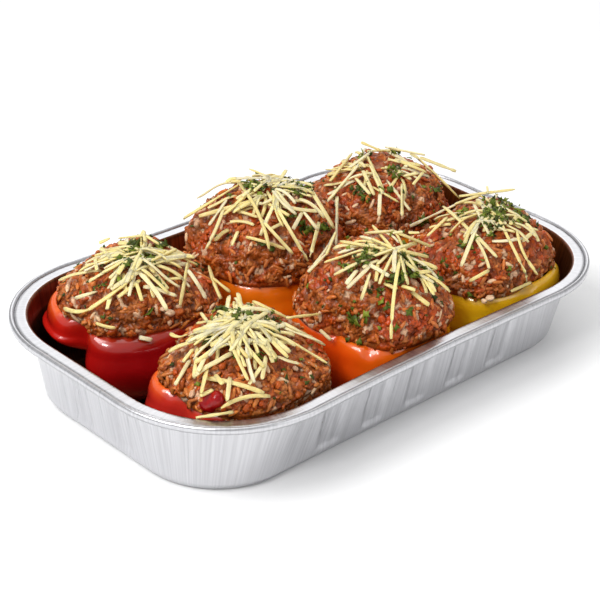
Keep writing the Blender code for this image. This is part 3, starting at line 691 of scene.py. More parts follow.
class Heap:
    """One heap's fine surface: its points, their normals and the crumbs they belong to."""

    def __init__(self, portion, draw):
        self.portion = portion
        degrees, radius = disc_grid(HEAP_GRID)
        self.rise = 1 - radius
        smooth = lumpy_heap(portion, degrees, self.rise)
        self.normals = grid_normals(smooth)
        self.area = self.cell_areas(smooth)
        relief = self.crumb_relief(smooth, draw)
        self.points = smooth + self.normals * relief[..., None]

    @staticmethod
    def cell_areas(points):
        along = np.gradient(points, axis=0)
        across = np.gradient(points, axis=1)
        return np.linalg.norm(np.cross(along, across), axis=-1)

    def pick(self, draw, count, lowest=0.0, highest=1.0):
        """Random places on the surface, evenly spread over its area, between two rises."""
        weight = self.area * (self.rise >= lowest) * (self.rise <= highest)
        total = np.cumsum(weight.ravel())
        spots = [draw.random() * total[-1] for _ in range(count)]
        return np.searchsorted(total, spots)

    def at(self, spot):
        """The point at a place on the surface, and its normal."""
        return self.points.reshape(-1, 3)[spot], self.normals.reshape(-1, 3)[spot]

    def crumb_relief(self, points, draw):
        """Clumps of ragged crumbs with creases between them, and each crumb's colour, with painted shade in
        the creases and hollows.
        """
        count = int(self.area.sum() / CRUMB_SPACING**2)
        seeds = points.reshape(-1, 3)[self.pick(draw, count)]
        tree = KDTree(len(seeds))
        for index, seed in enumerate(seeds):
            tree.insert(Vector(seed), index)
        tree.balance()
        heights = np.array([draw.uniform(-1.0, 1.0) for _ in seeds])
        palette = np.array([crumb_colour(draw, seed, self.portion.redness) for seed in seeds])
        warp = np.stack([noise_at(points, WARP_SPACING, shift) for shift in WARP_OFFSETS], -1)
        warped = points + warp * WARP_REACH
        nearest = np.empty(points.shape[:-1], int)
        border = np.empty(points.shape[:-1])
        flat_nearest = nearest.reshape(-1)
        flat_border = border.reshape(-1)
        for i, point in enumerate(warped.reshape(-1, 3)):
            (_, first, near), (_, _, far) = tree.find_n(point, 2)
            flat_nearest[i] = first
            flat_border[i] = 2 * near / max(near + far, 1e-6)
        dome = 1 - border**DOME_POWER
        clumps = noise_at(points, CLUMP_SPACING, 5.0)
        fine = noise_at(points, FINE_SPACING, 29.0)
        fade = smooth_step(0.0, EDGE_FADE, self.rise)
        # Painted shade: each crumb's colour is darkened in the hollows between clumps and towards its borders
        # with other crumbs.
        hollow = 0.62 + 0.38 * smooth_step(-0.45, 0.1, clumps + 0.25 * fine)
        shade = (0.6 + 0.4 * smooth_step(0.0, 0.5, dome + 0.4 * fine)) * hollow
        self.tints = palette[nearest] * shade[..., None]
        relief = CRUMB_RELIEF * (dome - DOME_MIDDLE) + CRUMB_STEP * heights[nearest] + CLUMP_RELIEF * clumps
        return (relief + FINE_RELIEF * fine) * fade - SUNK

    def build(self, material):
        """The closed core: the fine top, then down into the pepper's hollow."""
        count = HEAP_GRID + 1
        index = np.arange(count * count).reshape(count, count)
        quads = np.stack((index[:-1, :-1], index[1:, :-1], index[1:, 1:], index[:-1, 1:]), -1).reshape(-1, 4)
        edge = np.concatenate((index[:-1, 0], index[-1, :-1], index[:0:-1, -1], index[0, :0:-1]))
        top = self.points.reshape(-1, 3)
        middle = np.array((*self.portion.middle, 0.0))
        rim = top[edge]
        rings = []
        for share, drop in CORE_RINGS:
            ring = middle + (rim - middle) * share
            ring[:, 2] = self.portion.cut - drop
            rings.append(ring)
        foot = np.array((*self.portion.middle, HOLLOW_FLOOR + GAP))
        points = np.vstack((top, *rings, foot))
        sides = []
        rows = [edge] + [count * count + len(edge) * i + np.arange(len(edge)) for i in range(len(rings))]
        for upper, lower in zip(rows, rows[1:]):
            sides.append(np.stack((np.roll(upper, -1), upper, lower, np.roll(lower, -1)), -1))
        bottom = fan(len(points) - 1, np.roll(rows[-1], -1), rows[-1])
        below = np.tile(self.tints.mean((0, 1)), (len(points) - len(top), 1))
        soup = Soup()
        soup.add(points, np.vstack((quads, *sides)), bottom, np.vstack((self.tints.reshape(-1, 3), below)))
        return soup.build(f"filling_core_{self.portion.number}", [material])


def blend(first, second, share):
    """A colour between two others."""
    return [a + (b - a) * share for a, b in zip(first, second)]


def crumb_colour(draw, place_of, redness):
    """The colour of a crumb: browns that change slowly from place to place, redder in patches."""
    spot = Vector(place_of)
    patch = min(1.0, max(0.0, noise.noise(spot / PATCH_SPACING) * 1.3 + redness))
    grey = min(1.0, max(0.0, noise.noise(spot / GREY_SPACING + GREY_OFFSET) * 1.6 + 0.42))
    colour = blend(blend(BROWN, GREY_BROWN, grey), TOMATO, TOMATO_SHARE * patch)
    kind = draw.random()
    for highest, other, share in CRUMB_KINDS:
        if kind < highest:
            colour = blend(colour, other, share)
            break
    bright = draw.uniform(0.84, 1.16)
    return [channel * bright for channel in colour]


class HeightMap:
    """The height of what lies in the tray, on a square grid, for laying more on it."""

    def __init__(self):
        self.shape = tuple(int(2 * reach / MAP_CELL) for reach in MAP_REACH)
        self.top = np.zeros(self.shape)
        self.most = np.full(self.shape, HIGHEST)

    def cell(self, points):
        i = ((points[..., 0] + MAP_REACH[0]) / MAP_CELL).astype(int)
        j = ((points[..., 1] + MAP_REACH[1]) / MAP_CELL).astype(int)
        return np.clip(i, 0, self.shape[0] - 1), np.clip(j, 0, self.shape[1] - 1)

    def raise_to(self, points):
        points = points.reshape(-1, 3)
        cells = self.cell(points)
        np.maximum.at(self.top, cells, np.minimum(points[:, 2], self.most[cells]))

    def fill_pinholes(self):
        """Give a cell that every neighbour overtops the lowest height round it."""
        around = [np.roll(self.top, shift, axis) for shift in (-1, 1) for axis in (0, 1)]
        self.top = np.maximum(self.top, np.minimum.reduce(around))

    def height(self, points):
        return self.top[self.cell(points)]

    def settle(self):
        """Keep a blurred copy, which gives the direction that things lie in."""
        soft = self.top.copy()
        for _ in range(MAP_BLURS):
            across = soft + np.roll(soft, 1, 0) + np.roll(soft, -1, 0)
            soft = (across + np.roll(soft, 1, 1) + np.roll(soft, -1, 1)) / 5
        self.most = np.minimum(np.maximum(soft, self.top) + PILE_HEIGHT, HIGHEST)
        slope_x, slope_y = np.gradient(soft, MAP_CELL)
        self.lie = normalise(np.stack((-slope_x, -slope_y, np.ones_like(soft)), -1))

    def normal(self, points):
        return self.lie[self.cell(points)]

    def under(self, view, x, y):
        """Where rays through pixels first meet the surface, and whether they do."""
        rays = view.rays(x, y)
        high, low = [(height - view.place[2]) / rays[..., 2] for height in SIGHT_HEIGHTS]
        steps = np.linspace(0.0, 1.0, SIGHT_STEPS)
        depth = high[..., None] + (low - high)[..., None] * steps
        along = view.place + rays[..., None, :] * depth[..., None]
        below = along[..., 2] <= self.height(along)
        first = below.argmax(-1)
        met = below.any(-1)
        found = np.take_along_axis(along, first[..., None, None], -2)[..., 0, :]
        return found, met, rays


def stiff_heights(path, heights):
    """Heights of a shred that lies over the given ones and bends no tighter than its radius."""
    steps = np.linalg.norm(np.diff(path[:, :2], axis=0), axis=1)
    along = np.concatenate(((0.0,), np.cumsum(np.maximum(steps, 0.2))))
    sag = (along[:, None] - along[None, :]) ** 2 / (2 * SHRED_BEND_RADIUS)
    lying = (heights[None, :] - sag).max(1)
    for _ in range(4):
        lying[1:-1] = np.maximum(lying[1:-1], (lying[:-2] + lying[2:]) / 2)
    return lying


def add_shred(soup, ground, path, draw):
    """A cheese shred along a path, which then carries what lies on it."""
    width = SHRED_WIDTH * draw.uniform(*SHRED_WIDTHS)
    thickness = SHRED_THICKNESS * draw.uniform(*SHRED_THICKNESSES)
    path = path + np.array((0.0, 0.0, thickness / 2))
    path[:, 2] = np.minimum(path[:, 2], HIGHEST)
    forward = normalise(np.gradient(path, axis=0))
    normal = ground.normal(path) + np.array((0.0, 0.0, 0.4))
    side = normalise(np.cross(forward, normal))
    normal = np.cross(side, forward)
    roll = math.radians(draw.uniform(-SHRED_ROLL, SHRED_ROLL))
    turned = roll + math.radians(draw.uniform(-SHRED_TWIST, SHRED_TWIST))
    twist = np.linspace(roll, turned, len(path))[:, None]
    across = side * np.cos(twist) + normal * np.sin(twist)
    upward = normal * np.cos(twist) - side * np.sin(twist)
    taper = np.ones((len(path), 1))
    taper[0] = draw.uniform(*SHRED_START)
    taper[-1] = draw.uniform(*SHRED_END)
    rings = np.stack([path + across * taper * (wide * width / 2) + upward * taper * (high * thickness / 2)
                      for wide, high in SHRED_SECTION], 1)
    sides = len(SHRED_SECTION)
    quads = wrapped_quads(len(path), sides)
    cap = np.array(((3, 2, 1, 0), (4, 3, 0, 7), (5, 4, 7, 6)))
    end_cap = cap[:, ::-1] + (len(path) - 1) * sides
    soup.add(rings, np.vstack((quads, cap, end_cap)), tint=cheese_colour(draw))
    fine = np.linspace(0, len(path) - 1, len(path) * 4)
    spine = np.stack([np.interp(fine, np.arange(len(path)), path[:, axis]) for axis in range(3)], -1)
    for share in (-0.8, 0.0, 0.8):
        shifted = spine + side[fine.astype(int)] * share * width / 2
        shifted[:, 2] = spine[:, 2] + thickness / 2
        ground.raise_to(shifted)


def cheese_colour(draw):
    pale = draw.random()
    bright = draw.uniform(0.9, 1.06)
    return (0.76 * bright, (0.61 + 0.06 * pale) * bright, (0.25 + 0.20 * pale**2) * bright)


def seen_shred(soup, ground, view, portion, row, draw):
    """A shred under given pixels of the photograph."""
    x0, y0, x1, y1, bow = row
    share = np.linspace(0.0, 1.0, SHRED_POINTS)
    length = max(math.hypot(x1 - x0, y1 - y0), 1.0)
    arc = 4 * share * (1 - share) * bow / length
    x = x0 + (x1 - x0) * share - (y1 - y0) * arc
    y = y0 + (y1 - y0) * share + (x1 - x0) * arc
    found, met, rays = ground.under(view, x, y)
    near_heap = np.hypot(found[:, 0] - portion.middle[0], found[:, 1] - portion.middle[1]) < NEAR_HEAP
    met = met & near_heap & (found[:, 2] > portion.cut - 3)
    axis_depth = (np.array((*portion.middle, portion.top)) - view.place) @ -view.back
    path = view.place + rays * axis_depth
    if met.any():
        heights = np.where(met, found[:, 2], FAR_BELOW)
        lying = stiff_heights(flat_spacing(share, length), heights)
        depth = (lying - view.place[2]) / rays[:, 2]
        path = view.place + rays * depth[:, None]
    limits = np.array(SHRED_LIMITS)
    path[:, :2] = np.clip(path[:, :2], -limits, limits)
    add_shred(soup, ground, path, draw)


def flat_spacing(share, length):
    """Points spaced as a shred's are, for a shred given by its length in pixels."""
    pixels_in_mm = CAMERA_DISTANCE / (CAMERA_LENS / CAMERA_SENSOR * PHOTO_SIDE)
    return np.stack((share * length * pixels_in_mm, np.zeros_like(share)), -1)


def random_shred(soup, ground, portion, draw):
    """A shred that lies on the crown, pointing more or less down the slope."""
    turn = draw.uniform(0, 2 * math.pi)
    reach = abs(draw.gauss(0, PILE_SPREAD))
    top = np.array(portion.middle) + np.array(portion.lean) + np.array(PILE_SHIFT)
    start = top + reach * np.array((math.cos(turn), math.sin(turn)))
    heading = turn + draw.gauss(0, SHRED_HEADING)
    length = draw.uniform(*SHRED_LENGTHS)
    bend = draw.gauss(0, SHRED_BEND)
    step = length / (SHRED_POINTS - 1)
    path = [start]
    for _ in range(SHRED_POINTS - 1):
        path.append(path[-1] + step * np.array((math.cos(heading), math.sin(heading))))
        heading += bend * step * 2
    path = np.column_stack((np.array(path), np.zeros(len(path))))
    left, right, front, back = portion.cell
    low = np.array((left, front)) + SHRED_MARGIN
    high = np.array((right, back)) - SHRED_MARGIN
    flat = path[:, :2]
    if not ((flat > low) & (flat < high) & (np.abs(flat) < SHRED_LIMITS)).all():
        return
    heights = ground.height(path)
    if heights.min() < portion.cut + PILE_LOWEST:
        return
    path[:, 2] = stiff_heights(path, heights)
    add_shred(soup, ground, path, draw)


def rounded_lump(subdivisions):
    """The points and triangles of a unit ball."""
    bm = bmesh.new()
    bmesh.ops.create_icosphere(bm, subdivisions=subdivisions, radius=1.0)
    points = np.array([vert.co for vert in bm.verts])
    triangles = np.array([[vert.index for vert in face.verts] for face in bm.faces])
    bm.free()
    return points, triangles


def basis_on(normal, draw, tilt):
    """Two directions across a normal, and a third out of it, tilted at random."""
    lean = Vector((draw.gauss(0, tilt), draw.gauss(0, tilt), draw.gauss(0, tilt)))
    out = (Vector(normal) + lean).normalized()
    spin = Vector((draw.uniform(-1, 1), draw.uniform(-1, 1), draw.uniform(-1, 1)))
    first = out.cross(spin).normalized()
    second = out.cross(first)
    return np.array(first), np.array(second), np.array(out)


def add_crumb(soup, ground, at, normal, redness, ball, draw):
    """A crumb of mince: a lumpy rounded bit, partly sunk, with painted shade on its underside."""
    points, triangles = ball
    first, second, out = basis_on(normal, draw, CRUMB_TILT)
    size = draw.uniform(*CRUMB_SIZES) * (LARGE_CRUMB if draw.random() < LARGE_CRUMB_SHARE else 1.0)
    long, wide, thick = [size * draw.uniform(*shares) for shares in (CRUMB_LONG, CRUMB_WIDE, CRUMB_THICK)]
    knobs = 1 + KNOB_SIZE * noise_at(points, KNOB_SPACING, draw.uniform(0, 90))
    shaped = points * knobs[:, None]
    body = at + out * thick * 0.25 + shaped[:, :1] * first * long + shaped[:, 1:2] * second * wide
    body = body + shaped[:, 2:] * out * thick
    body[:, 2] = np.minimum(body[:, 2], HIGHEST)
    tint = crumb_colour(draw, at, redness)
    # Painted shade: the crumb's colour darkens towards its underside.
    shade = 0.6 + 0.4 * smooth_step(-0.7, 0.5, shaped[:, 2])
    soup.add(body, triangles=triangles, tint=np.array(tint) * shade[:, None])
    ground.raise_to(body)


def add_crumbs(soup, ground, heap, ball, draw):
    """Loose crumbs all over the heap."""
    for spot in heap.pick(draw, LOOSE_CRUMBS):
        add_crumb(soup, ground, *heap.at(spot), heap.portion.redness, ball, draw)


def spilled_spot(portion, rows, reach, low, draw):
    """A place on the pepper's side where the heap spills over it, and the way out of the pepper there."""
    toward, width, _ = portion.edges[-1]
    degrees = toward + draw.uniform(-reach, reach) * width
    column = int(round(degrees / 360.0 * PEPPER_STEPS)) % PEPPER_STEPS
    height = portion.cut - abs(draw.gauss(0, low))
    line = rows[:, column]
    at = line[int(np.abs(line[:, 2] - height).argmin())].copy()
    at[2] = height
    outward = normalise(at - np.array((*portion.middle, OUTWARD_FROM)))
    return at, outward


def add_spill(crumbs, grains, ground, heap, rows, ball, grain, draw):
    """Mince and rice that hang over the pepper's side."""
    portion = heap.portion
    if portion.number not in SPILL_REACH:
        return
    reach, low = SPILL_REACH[portion.number]
    outside = rows[:SKIN_ROWS - 2 + len(SHOULDER_ROWS)]
    for _ in range(SPILLED_CRUMBS):
        at, outward = spilled_spot(portion, outside, reach, low, draw)
        add_crumb(crumbs, ground, at, outward, portion.redness, ball, draw)
    for _ in range(SPILLED_GRAINS):
        at, outward = spilled_spot(portion, outside, reach, low, draw)
        add_grain(grains, ground, at, outward, portion.redness, grain, draw)


def add_blobs(soup, ground, view, portion, ball, draw):
    """The whitish bits that stand out in the photograph."""
    points, triangles = ball
    for x, y, radius in SEEN_BLOBS.get(portion.number, ()):
        found, met, _ = ground.under(view, [x], [y])
        if not met[0]:
            continue
        shaped = points * (1 + 0.4 * noise_at(points, 0.9, draw.uniform(0, 90)))[:, None]
        body = found[0] + shaped * radius * (1.0, 1.0, 0.7)
        soup.add(body, triangles=triangles, tint=PALE)
        ground.raise_to(body)


def grain_form():
    """The points and triangles of a rice grain along X, of length 2 and radius 1."""
    sides = 6
    stations = ((-0.84, 0.52), (-0.5, 0.9), (0.0, 1.0), (0.5, 0.9), (0.84, 0.52))
    turns = np.arange(sides) * 2 * math.pi / sides
    points = [(-1.0, 0.0, 0.0)]
    for along, radius in stations:
        points += [(along, radius * math.cos(turn), radius * math.sin(turn)) for turn in turns]
    points.append((1.0, 0.0, 0.0))
    triangles = []
    last = len(points) - 1
    for side in range(sides):
        following = (side + 1) % sides
        triangles.append((0, 1 + following, 1 + side))
        triangles.append((last, last - sides + side, last - sides + following))
        for station in range(len(stations) - 1):
            low = 1 + station * sides
            triangles.append((low + side, low + following, low + sides + following))
            triangles.append((low + side, low + sides + following, low + sides + side))
    return np.array(points), np.array(triangles)


def grain_colour(draw, redness):
    """Rice, mostly stained by the sauce."""
    warm = draw.random()
    if warm < 0.2:
        return PLAIN_GRAIN
    bright = draw.uniform(0.75, 1.15)
    return (0.58 * bright, (0.19 - 0.09 * redness * warm) * bright, (0.055 - 0.025 * warm) * bright)


def add_grain(soup, ground, at, normal, redness, grain, draw):
    """A rice grain, partly sunk in what it lies on."""
    points, triangles = grain
    first, second, out = basis_on(normal, draw, GRAIN_TILT)
    length = GRAIN_LENGTH * draw.uniform(*GRAIN_LENGTHS)
    radius = GRAIN_RADIUS * draw.uniform(*GRAIN_RADII)
    bend = draw.uniform(-GRAIN_BEND, GRAIN_BEND) * points[:, :1] ** 2
    body = at + out * (radius * draw.uniform(*GRAIN_SUNK) + 0.3) + points[:, :1] * first * length / 2
    body = body + (points[:, 1:2] + bend) * second * radius + points[:, 2:] * out * radius * 0.85
    body[:, 2] = np.minimum(body[:, 2], HIGHEST)
    soup.add(body, triangles=triangles, tint=grain_colour(draw, redness))
    ground.raise_to(body)


def add_grains(soup, ground, heap, grain, draw):
    """Rice grains all over the heap."""
    for spot in heap.pick(draw, GRAINS):
        add_grain(soup, ground, *heap.at(spot), heap.portion.redness, grain, draw)


def add_flake(soup, at, normal, size, draw):
    """A bit of chopped parsley: a small curled leaf with a ragged outline."""
    first, second, out = basis_on(normal, draw, FLAKE_TILT)
    corners = FLAKE_CORNERS
    here, following = round_indices(corners)
    turns = (here + np.array([draw.uniform(-0.3, 0.3) for _ in here])) * 2 * math.pi / corners
    reach = np.array([(1.1 if i % 2 else 0.6) * draw.uniform(0.75, 1.15) for i in range(corners)]) * size / 2
    long = draw.uniform(*FLAKE_LENGTHS)
    curl = draw.uniform(-FLAKE_CURL, FLAKE_CURL)
    x = np.cos(turns) * reach * long
    y = np.sin(turns) * reach
    ragged = np.array([draw.uniform(-0.12, 0.12) for _ in here])
    lift = curl * (x / size) ** 2 * size * 2 + ragged * size
    rim = at + x[:, None] * first + y[:, None] * second + lift[:, None] * out
    half = out * FLAKE_THICKNESS / 2
    points = np.vstack((at + half * 1.6, rim + half, rim - half, at - half * 1.6))
    points[:, 2] = np.minimum(points[:, 2], HIGHEST)
    upper = fan(0, 1 + here, 1 + following)
    lower = fan(2 * corners + 1, 1 + corners + following, 1 + corners + here)
    sides = np.stack((1 + here, 1 + corners + here, 1 + corners + following, 1 + following), -1)
    soup.add(points, sides, np.vstack((upper, lower)), tint=parsley_colour(draw))


def parsley_colour(draw):
    kind = draw.random()
    colour = next(colour for highest, colour in PARSLEY_KINDS if kind < highest)
    bright = draw.uniform(0.75, 1.3)
    return [channel * bright for channel in colour]


def add_parsley(soup, ground, view, heap, draw):
    """Parsley in its clumps, then scattered over the heap."""
    portion = heap.portion
    spots = []
    for x, y, reach, count in SEEN_PARSLEY[portion.number]:
        for _ in range(count):
            turn = draw.uniform(0, 2 * math.pi)
            far = reach * math.sqrt(draw.random())
            spots.append((x + far * math.cos(turn), y + 0.7 * far * math.sin(turn)))
    spots = np.array(spots)
    found, met, _ = ground.under(view, spots[:, 0], spots[:, 1])
    for at in found[met & (found[:, 2] > portion.cut)]:
        size = draw.uniform(1.4, 3.0) if draw.random() < 0.7 else draw.uniform(3.0, 5.0)
        add_flake(soup, at + np.array((0.0, 0.0, FLAKE_LIFT)), ground.normal(at), size, draw)
    for spot in heap.pick(draw, LOOSE_FLAKES, lowest=0.12):
        at, normal = heap.at(spot)
        at = at.copy()
        at[2] = max(at[2], ground.height(at) if heap.rise.ravel()[spot] > 0.5 else at[2])
        add_flake(soup, at + normal * 0.9, ground.normal(at), draw.uniform(1.2, 3.8), draw)


def underside(portion, degrees):
    """How far a lobe's underside is raised off the tray."""
    height = np.zeros_like(degrees)
    for direction, width, raised in portion.raised:
        height = height + raised * falloff(degrees, direction, width, 4)
    return height


def pepper_rows(portion, degrees, levels, cut, inset=0.0):
    """Rows of a pepper's skin up to a height, or with an inset of its hollow."""
    rows = []
    raised = underside(portion, degrees)
    for share, up, grooved in levels:
        bottom = PEPPER_FLOOR + raised * min(1.0, share / RAISED_FULL)
        height = bottom + (cut - bottom) * up
        radius = pepper_radius(portion, degrees, grooved) * share
        skin = place(portion, degrees, radius, height, WALL_CLEARANCE)
        middle = np.column_stack((np.tile(portion.middle, (len(degrees), 1)), height))
        outward = skin - middle
        length = np.maximum(np.linalg.norm(outward, axis=-1, keepdims=True), 1e-6)
        rows.append(middle + outward * (1 - inset / length))
    return rows


def make_pepper(portion, skin, flesh):
    """A pepper half with a smooth lobed skin, a rounded cut edge and its hollow."""
    degrees = np.arange(PEPPER_STEPS) * 360.0 / PEPPER_STEPS
    skin_levels = spline(SKIN_LEVELS, SKIN_ROWS)[2:]
    skin_rows = pepper_rows(portion, degrees, skin_levels, portion.cut - SHOULDER[1])
    hollow_levels = spline(HOLLOW_LEVELS, HOLLOW_ROWS)
    hollow_rows = pepper_rows(portion, degrees, hollow_levels, portion.cut - HOLLOW_BELOW_CUT, FLESH)
    top = skin_rows[-1]
    inward = normalise((hollow_rows[0] - top) * (1.0, 1.0, 0.0))
    rim = []
    short = heap_edge(portion, degrees)
    set_back = smooth_step(*SET_BACK_FROM, short) * (1 - smooth_step(*SET_BACK_UNTIL, short))
    reach = (SHOULDER[0] + (SET_BACK_SHOULDER - SHOULDER[0]) * set_back)[:, None]
    for turn, _ in SHOULDER_ROWS:
        row = top + inward * reach * (1 - math.cos(math.radians(turn)))
        row[:, 2] = portion.cut - SHOULDER[1] * (1 - math.sin(math.radians(turn)))
        rim.append(row)
    for inset, below in FLESH_ROWS:
        row = top + inward * (inset + reach - SHOULDER[0])
        row[:, 2] = portion.cut - below
        rim.append(row)
    rows = np.array(skin_rows + rim + hollow_rows)
    wobble = np.abs(noise_at(rows, SKIN_WOBBLE_SPACING, portion.number * 3.7)) * SKIN_WOBBLE
    outward = rows - np.array((*portion.middle, OUTWARD_FROM))
    fade = np.ones(len(rows))
    fade[len(skin_rows):] = 0.0
    fade[len(skin_rows) - len(WOBBLE_FADE):len(skin_rows)] = WOBBLE_FADE
    rows = rows - normalise(outward) * (wobble * fade[:, None])[..., None]
    quads = wrapped_quads(len(rows), PEPPER_STEPS)
    feet = [(*portion.middle, height) for height in (PEPPER_FLOOR, HOLLOW_FLOOR)]
    points = np.vstack((rows.reshape(-1, 3), *feet))
    here, following = round_indices(PEPPER_STEPS)
    last = (len(rows) - 1) * PEPPER_STEPS
    bottom = fan(len(points) - 2, following, here)
    floor = fan(len(points) - 1, last + here, last + following)
    first_skin, second_skin, toward = portion.skin
    share = falloff(degrees, toward, SECOND_COLOUR_WIDTH)[None, :, None]
    tints = np.array(first_skin) * (1 - share) + np.array(second_skin) * share
    flesh_share = np.ones((len(rows), 1))
    flesh_share[:len(skin_rows)] = 0.0
    flesh_share[len(skin_rows):len(skin_rows) + len(SHOULDER_ROWS), 0] = [share for _, share in SHOULDER_ROWS]
    bare = smooth_step(*BARE_FROM, short)
    flesh_share = (flesh_share * (COVERED_FLESH + (1 - COVERED_FLESH) * bare))[..., None]
    tints = tints * (1 - flesh_share) + np.array(portion.flesh) * flesh_share
    tints = np.vstack((tints.reshape(-1, 3), first_skin, portion.flesh))
    soup = Soup()
    soup.add(points, quads, np.vstack((bottom, floor)), tints)
    thing = soup.build(f"pepper_half_{portion.number}", [skin, flesh])
    row_of = np.repeat(np.arange(len(rows) - 1), PEPPER_STEPS)
    numbers = (row_of >= len(skin_rows) + len(SHOULDER_ROWS) - 2).astype(int)
    set_materials(thing, np.concatenate((numbers, np.zeros(PEPPER_STEPS), np.ones(PEPPER_STEPS))))
    return thing, rows


def tray_stations():
    """Stations round the tray: which corner or side each point belongs to, and how far along it is."""
    stations = []
    run_x = LIP_LENGTH / 2 - LIP_CORNER
    run_y = LIP_WIDTH / 2 - LIP_CORNER
    for quarter in range(4):
        for step in range(CORNER_STEPS + 1):
            stations.append(("corner", quarter, step / CORNER_STEPS))
        run = run_x if quarter % 2 == 0 else run_y
        steps = int(2 * run / SIDE_STEP)
        for step in range(1, steps):
            stations.append(("side", quarter, step / steps))
    return stations


def panel_press(along, middles):
    """How far in the panels press the wall at places along a side: sharp on one edge, soft on the other."""
    press = np.zeros_like(along)
    for middle in middles:
        start = middle - PANEL_HALF
        end = middle + PANEL_HALF
        inside = smooth_step(start, start + PANEL_SHARP, along)
        inside = inside * (1 - smooth_step(end - PANEL_SOFT, end, along))
        crease = 0.35 * np.exp(-(((along - middle - 1.0) / 1.2) ** 2))
        press = np.maximum(press, inside * (1 - crease))
    return press


def tray_ring(stations, shares, height, press, out=0.0):
    """One ring round the tray at a height, with its panels pressed in."""
    length, width, corner, side_bow, end_bow = shares
    half_x = length / 2 + out
    half_y = width / 2 + out
    corner = corner + out
    run_x = half_x - corner
    run_y = half_y - corner
    signs = ((1, 1), (-1, 1), (-1, -1), (1, -1))
    points = np.empty((len(stations), 3))
    for i, (kind, quarter, share) in enumerate(stations):
        sign_x, sign_y = signs[quarter]
        if kind == "corner":
            angle = math.pi / 2 * (quarter + share)
            x = sign_x * run_x + corner * math.cos(angle)
            y = sign_y * run_y + corner * math.sin(angle)
        elif quarter % 2 == 0:
            x = sign_x * run_x * (1 - 2 * share)
            y = sign_y * half_y
        else:
            x = sign_x * half_x
            y = sign_y * run_y * (1 - 2 * share)
        points[i] = (x, y, height)
    on_side = np.array([kind == "side" for kind, _, _ in stations])
    quarter = np.array([station[1] for station in stations])
    if press > 0:
        along_x = panel_press(points[:, 0], SIDE_PANELS) * (on_side & (quarter % 2 == 0))
        along_y = panel_press(points[:, 1], END_PANELS) * (on_side & (quarter % 2 == 1))
        points[:, 1] -= np.sign(points[:, 1]) * along_x * press
        points[:, 0] -= np.sign(points[:, 0]) * along_y * press
    along = np.maximum(0.0, 1 - (points[:, 0] / half_x) ** 2)
    across = np.maximum(0.0, 1 - (points[:, 1] / half_y) ** 2)
    bowed = points.copy()
    bowed[:, 0] = points[:, 0] * (1 - end_bow * across / half_x)
    bowed[:, 1] = points[:, 1] * (1 - side_bow * along / half_y)
    return bowed


def make_tray(foil, lacquer):
    """The foil tray: a thin sheet from the middle of its base to the edge of its skirt, with both faces."""
    stations = tray_stations()
    rings = []
    for share in BASE_EDGE_SHARES:
        inset = BASE_EDGE * share
        shares = (BASE_LENGTH - 2 * inset, BASE_WIDTH - 2 * inset, BASE_CORNER - inset, 0.0, 0.0)
        rings.append(tray_ring(stations, shares, BASE_EDGE * (1 - share) ** 2, 0.0))
    for height in np.concatenate([np.linspace(*span) for span in WALL_SPANS]):
        press = PANEL_DEPTH * float(smooth_step(*PANEL_LOW, height) * (1 - smooth_step(*PANEL_HIGH, height)))
        rings.append(tray_ring(stations, tray_shares(height), height, press))
    wall_rings = len(rings)
    lip = (LIP_LENGTH, LIP_WIDTH, LIP_CORNER, SIDE_BOW, END_BOW)
    for out, height in RIM_SECTION:
        rings.append(tray_ring(stations, lip, height, 0.0, out))
    outer = np.array(rings)
    steps = np.linalg.norm(np.diff(outer[wall_rings], axis=0, append=outer[wall_rings][:1]), axis=1)
    around = np.concatenate(((0.0,), np.cumsum(steps)))
    outer = crimp(outer, stations, around[:-1], wall_rings)
    along_rows = np.gradient(outer, axis=0)
    columns = np.concatenate((outer[:, -1:], outer, outer[:, :1]), 1)
    along_columns = (columns[:, 2:] - columns[:, :-2]) / 2
    inward = normalise(np.cross(along_rows, along_columns))
    if inward[1, 0, 2] < 0:
        inward = -inward
    inner = outer + inward * FOIL
    rows, count = outer.shape[:2]
    points = np.vstack((outer.reshape(-1, 3), inner.reshape(-1, 3), (0.0, 0.0, 0.0), (0.0, 0.0, FOIL)))
    quads = wrapped_quads(rows, count)
    inner_quads = quads[:, ::-1] + rows * count
    here, following = round_indices(count)
    last = (rows - 1) * count
    inside = rows * count
    edge = np.stack((here, following, following + inside, here + inside), -1) + last
    base = fan(len(points) - 2, following, here)
    floor = fan(len(points) - 1, here + inside, following + inside)
    soup = Soup()
    soup.add(points, np.vstack((quads, inner_quads, edge)), np.vstack((base, floor)))
    thing = soup.build("foil_tray", [foil, lacquer])
    row_of = np.repeat(np.arange(rows - 1), count)
    lacquered = (row_of < wall_rings + LIP_RINGS - 1).astype(int)
    numbers = np.concatenate((np.zeros(len(quads)), lacquered, np.zeros(2 * count), np.ones(count)))
    set_materials(thing, numbers)
    unwrap_tray(thing, around, outer, rows, count)
    return thing, outer


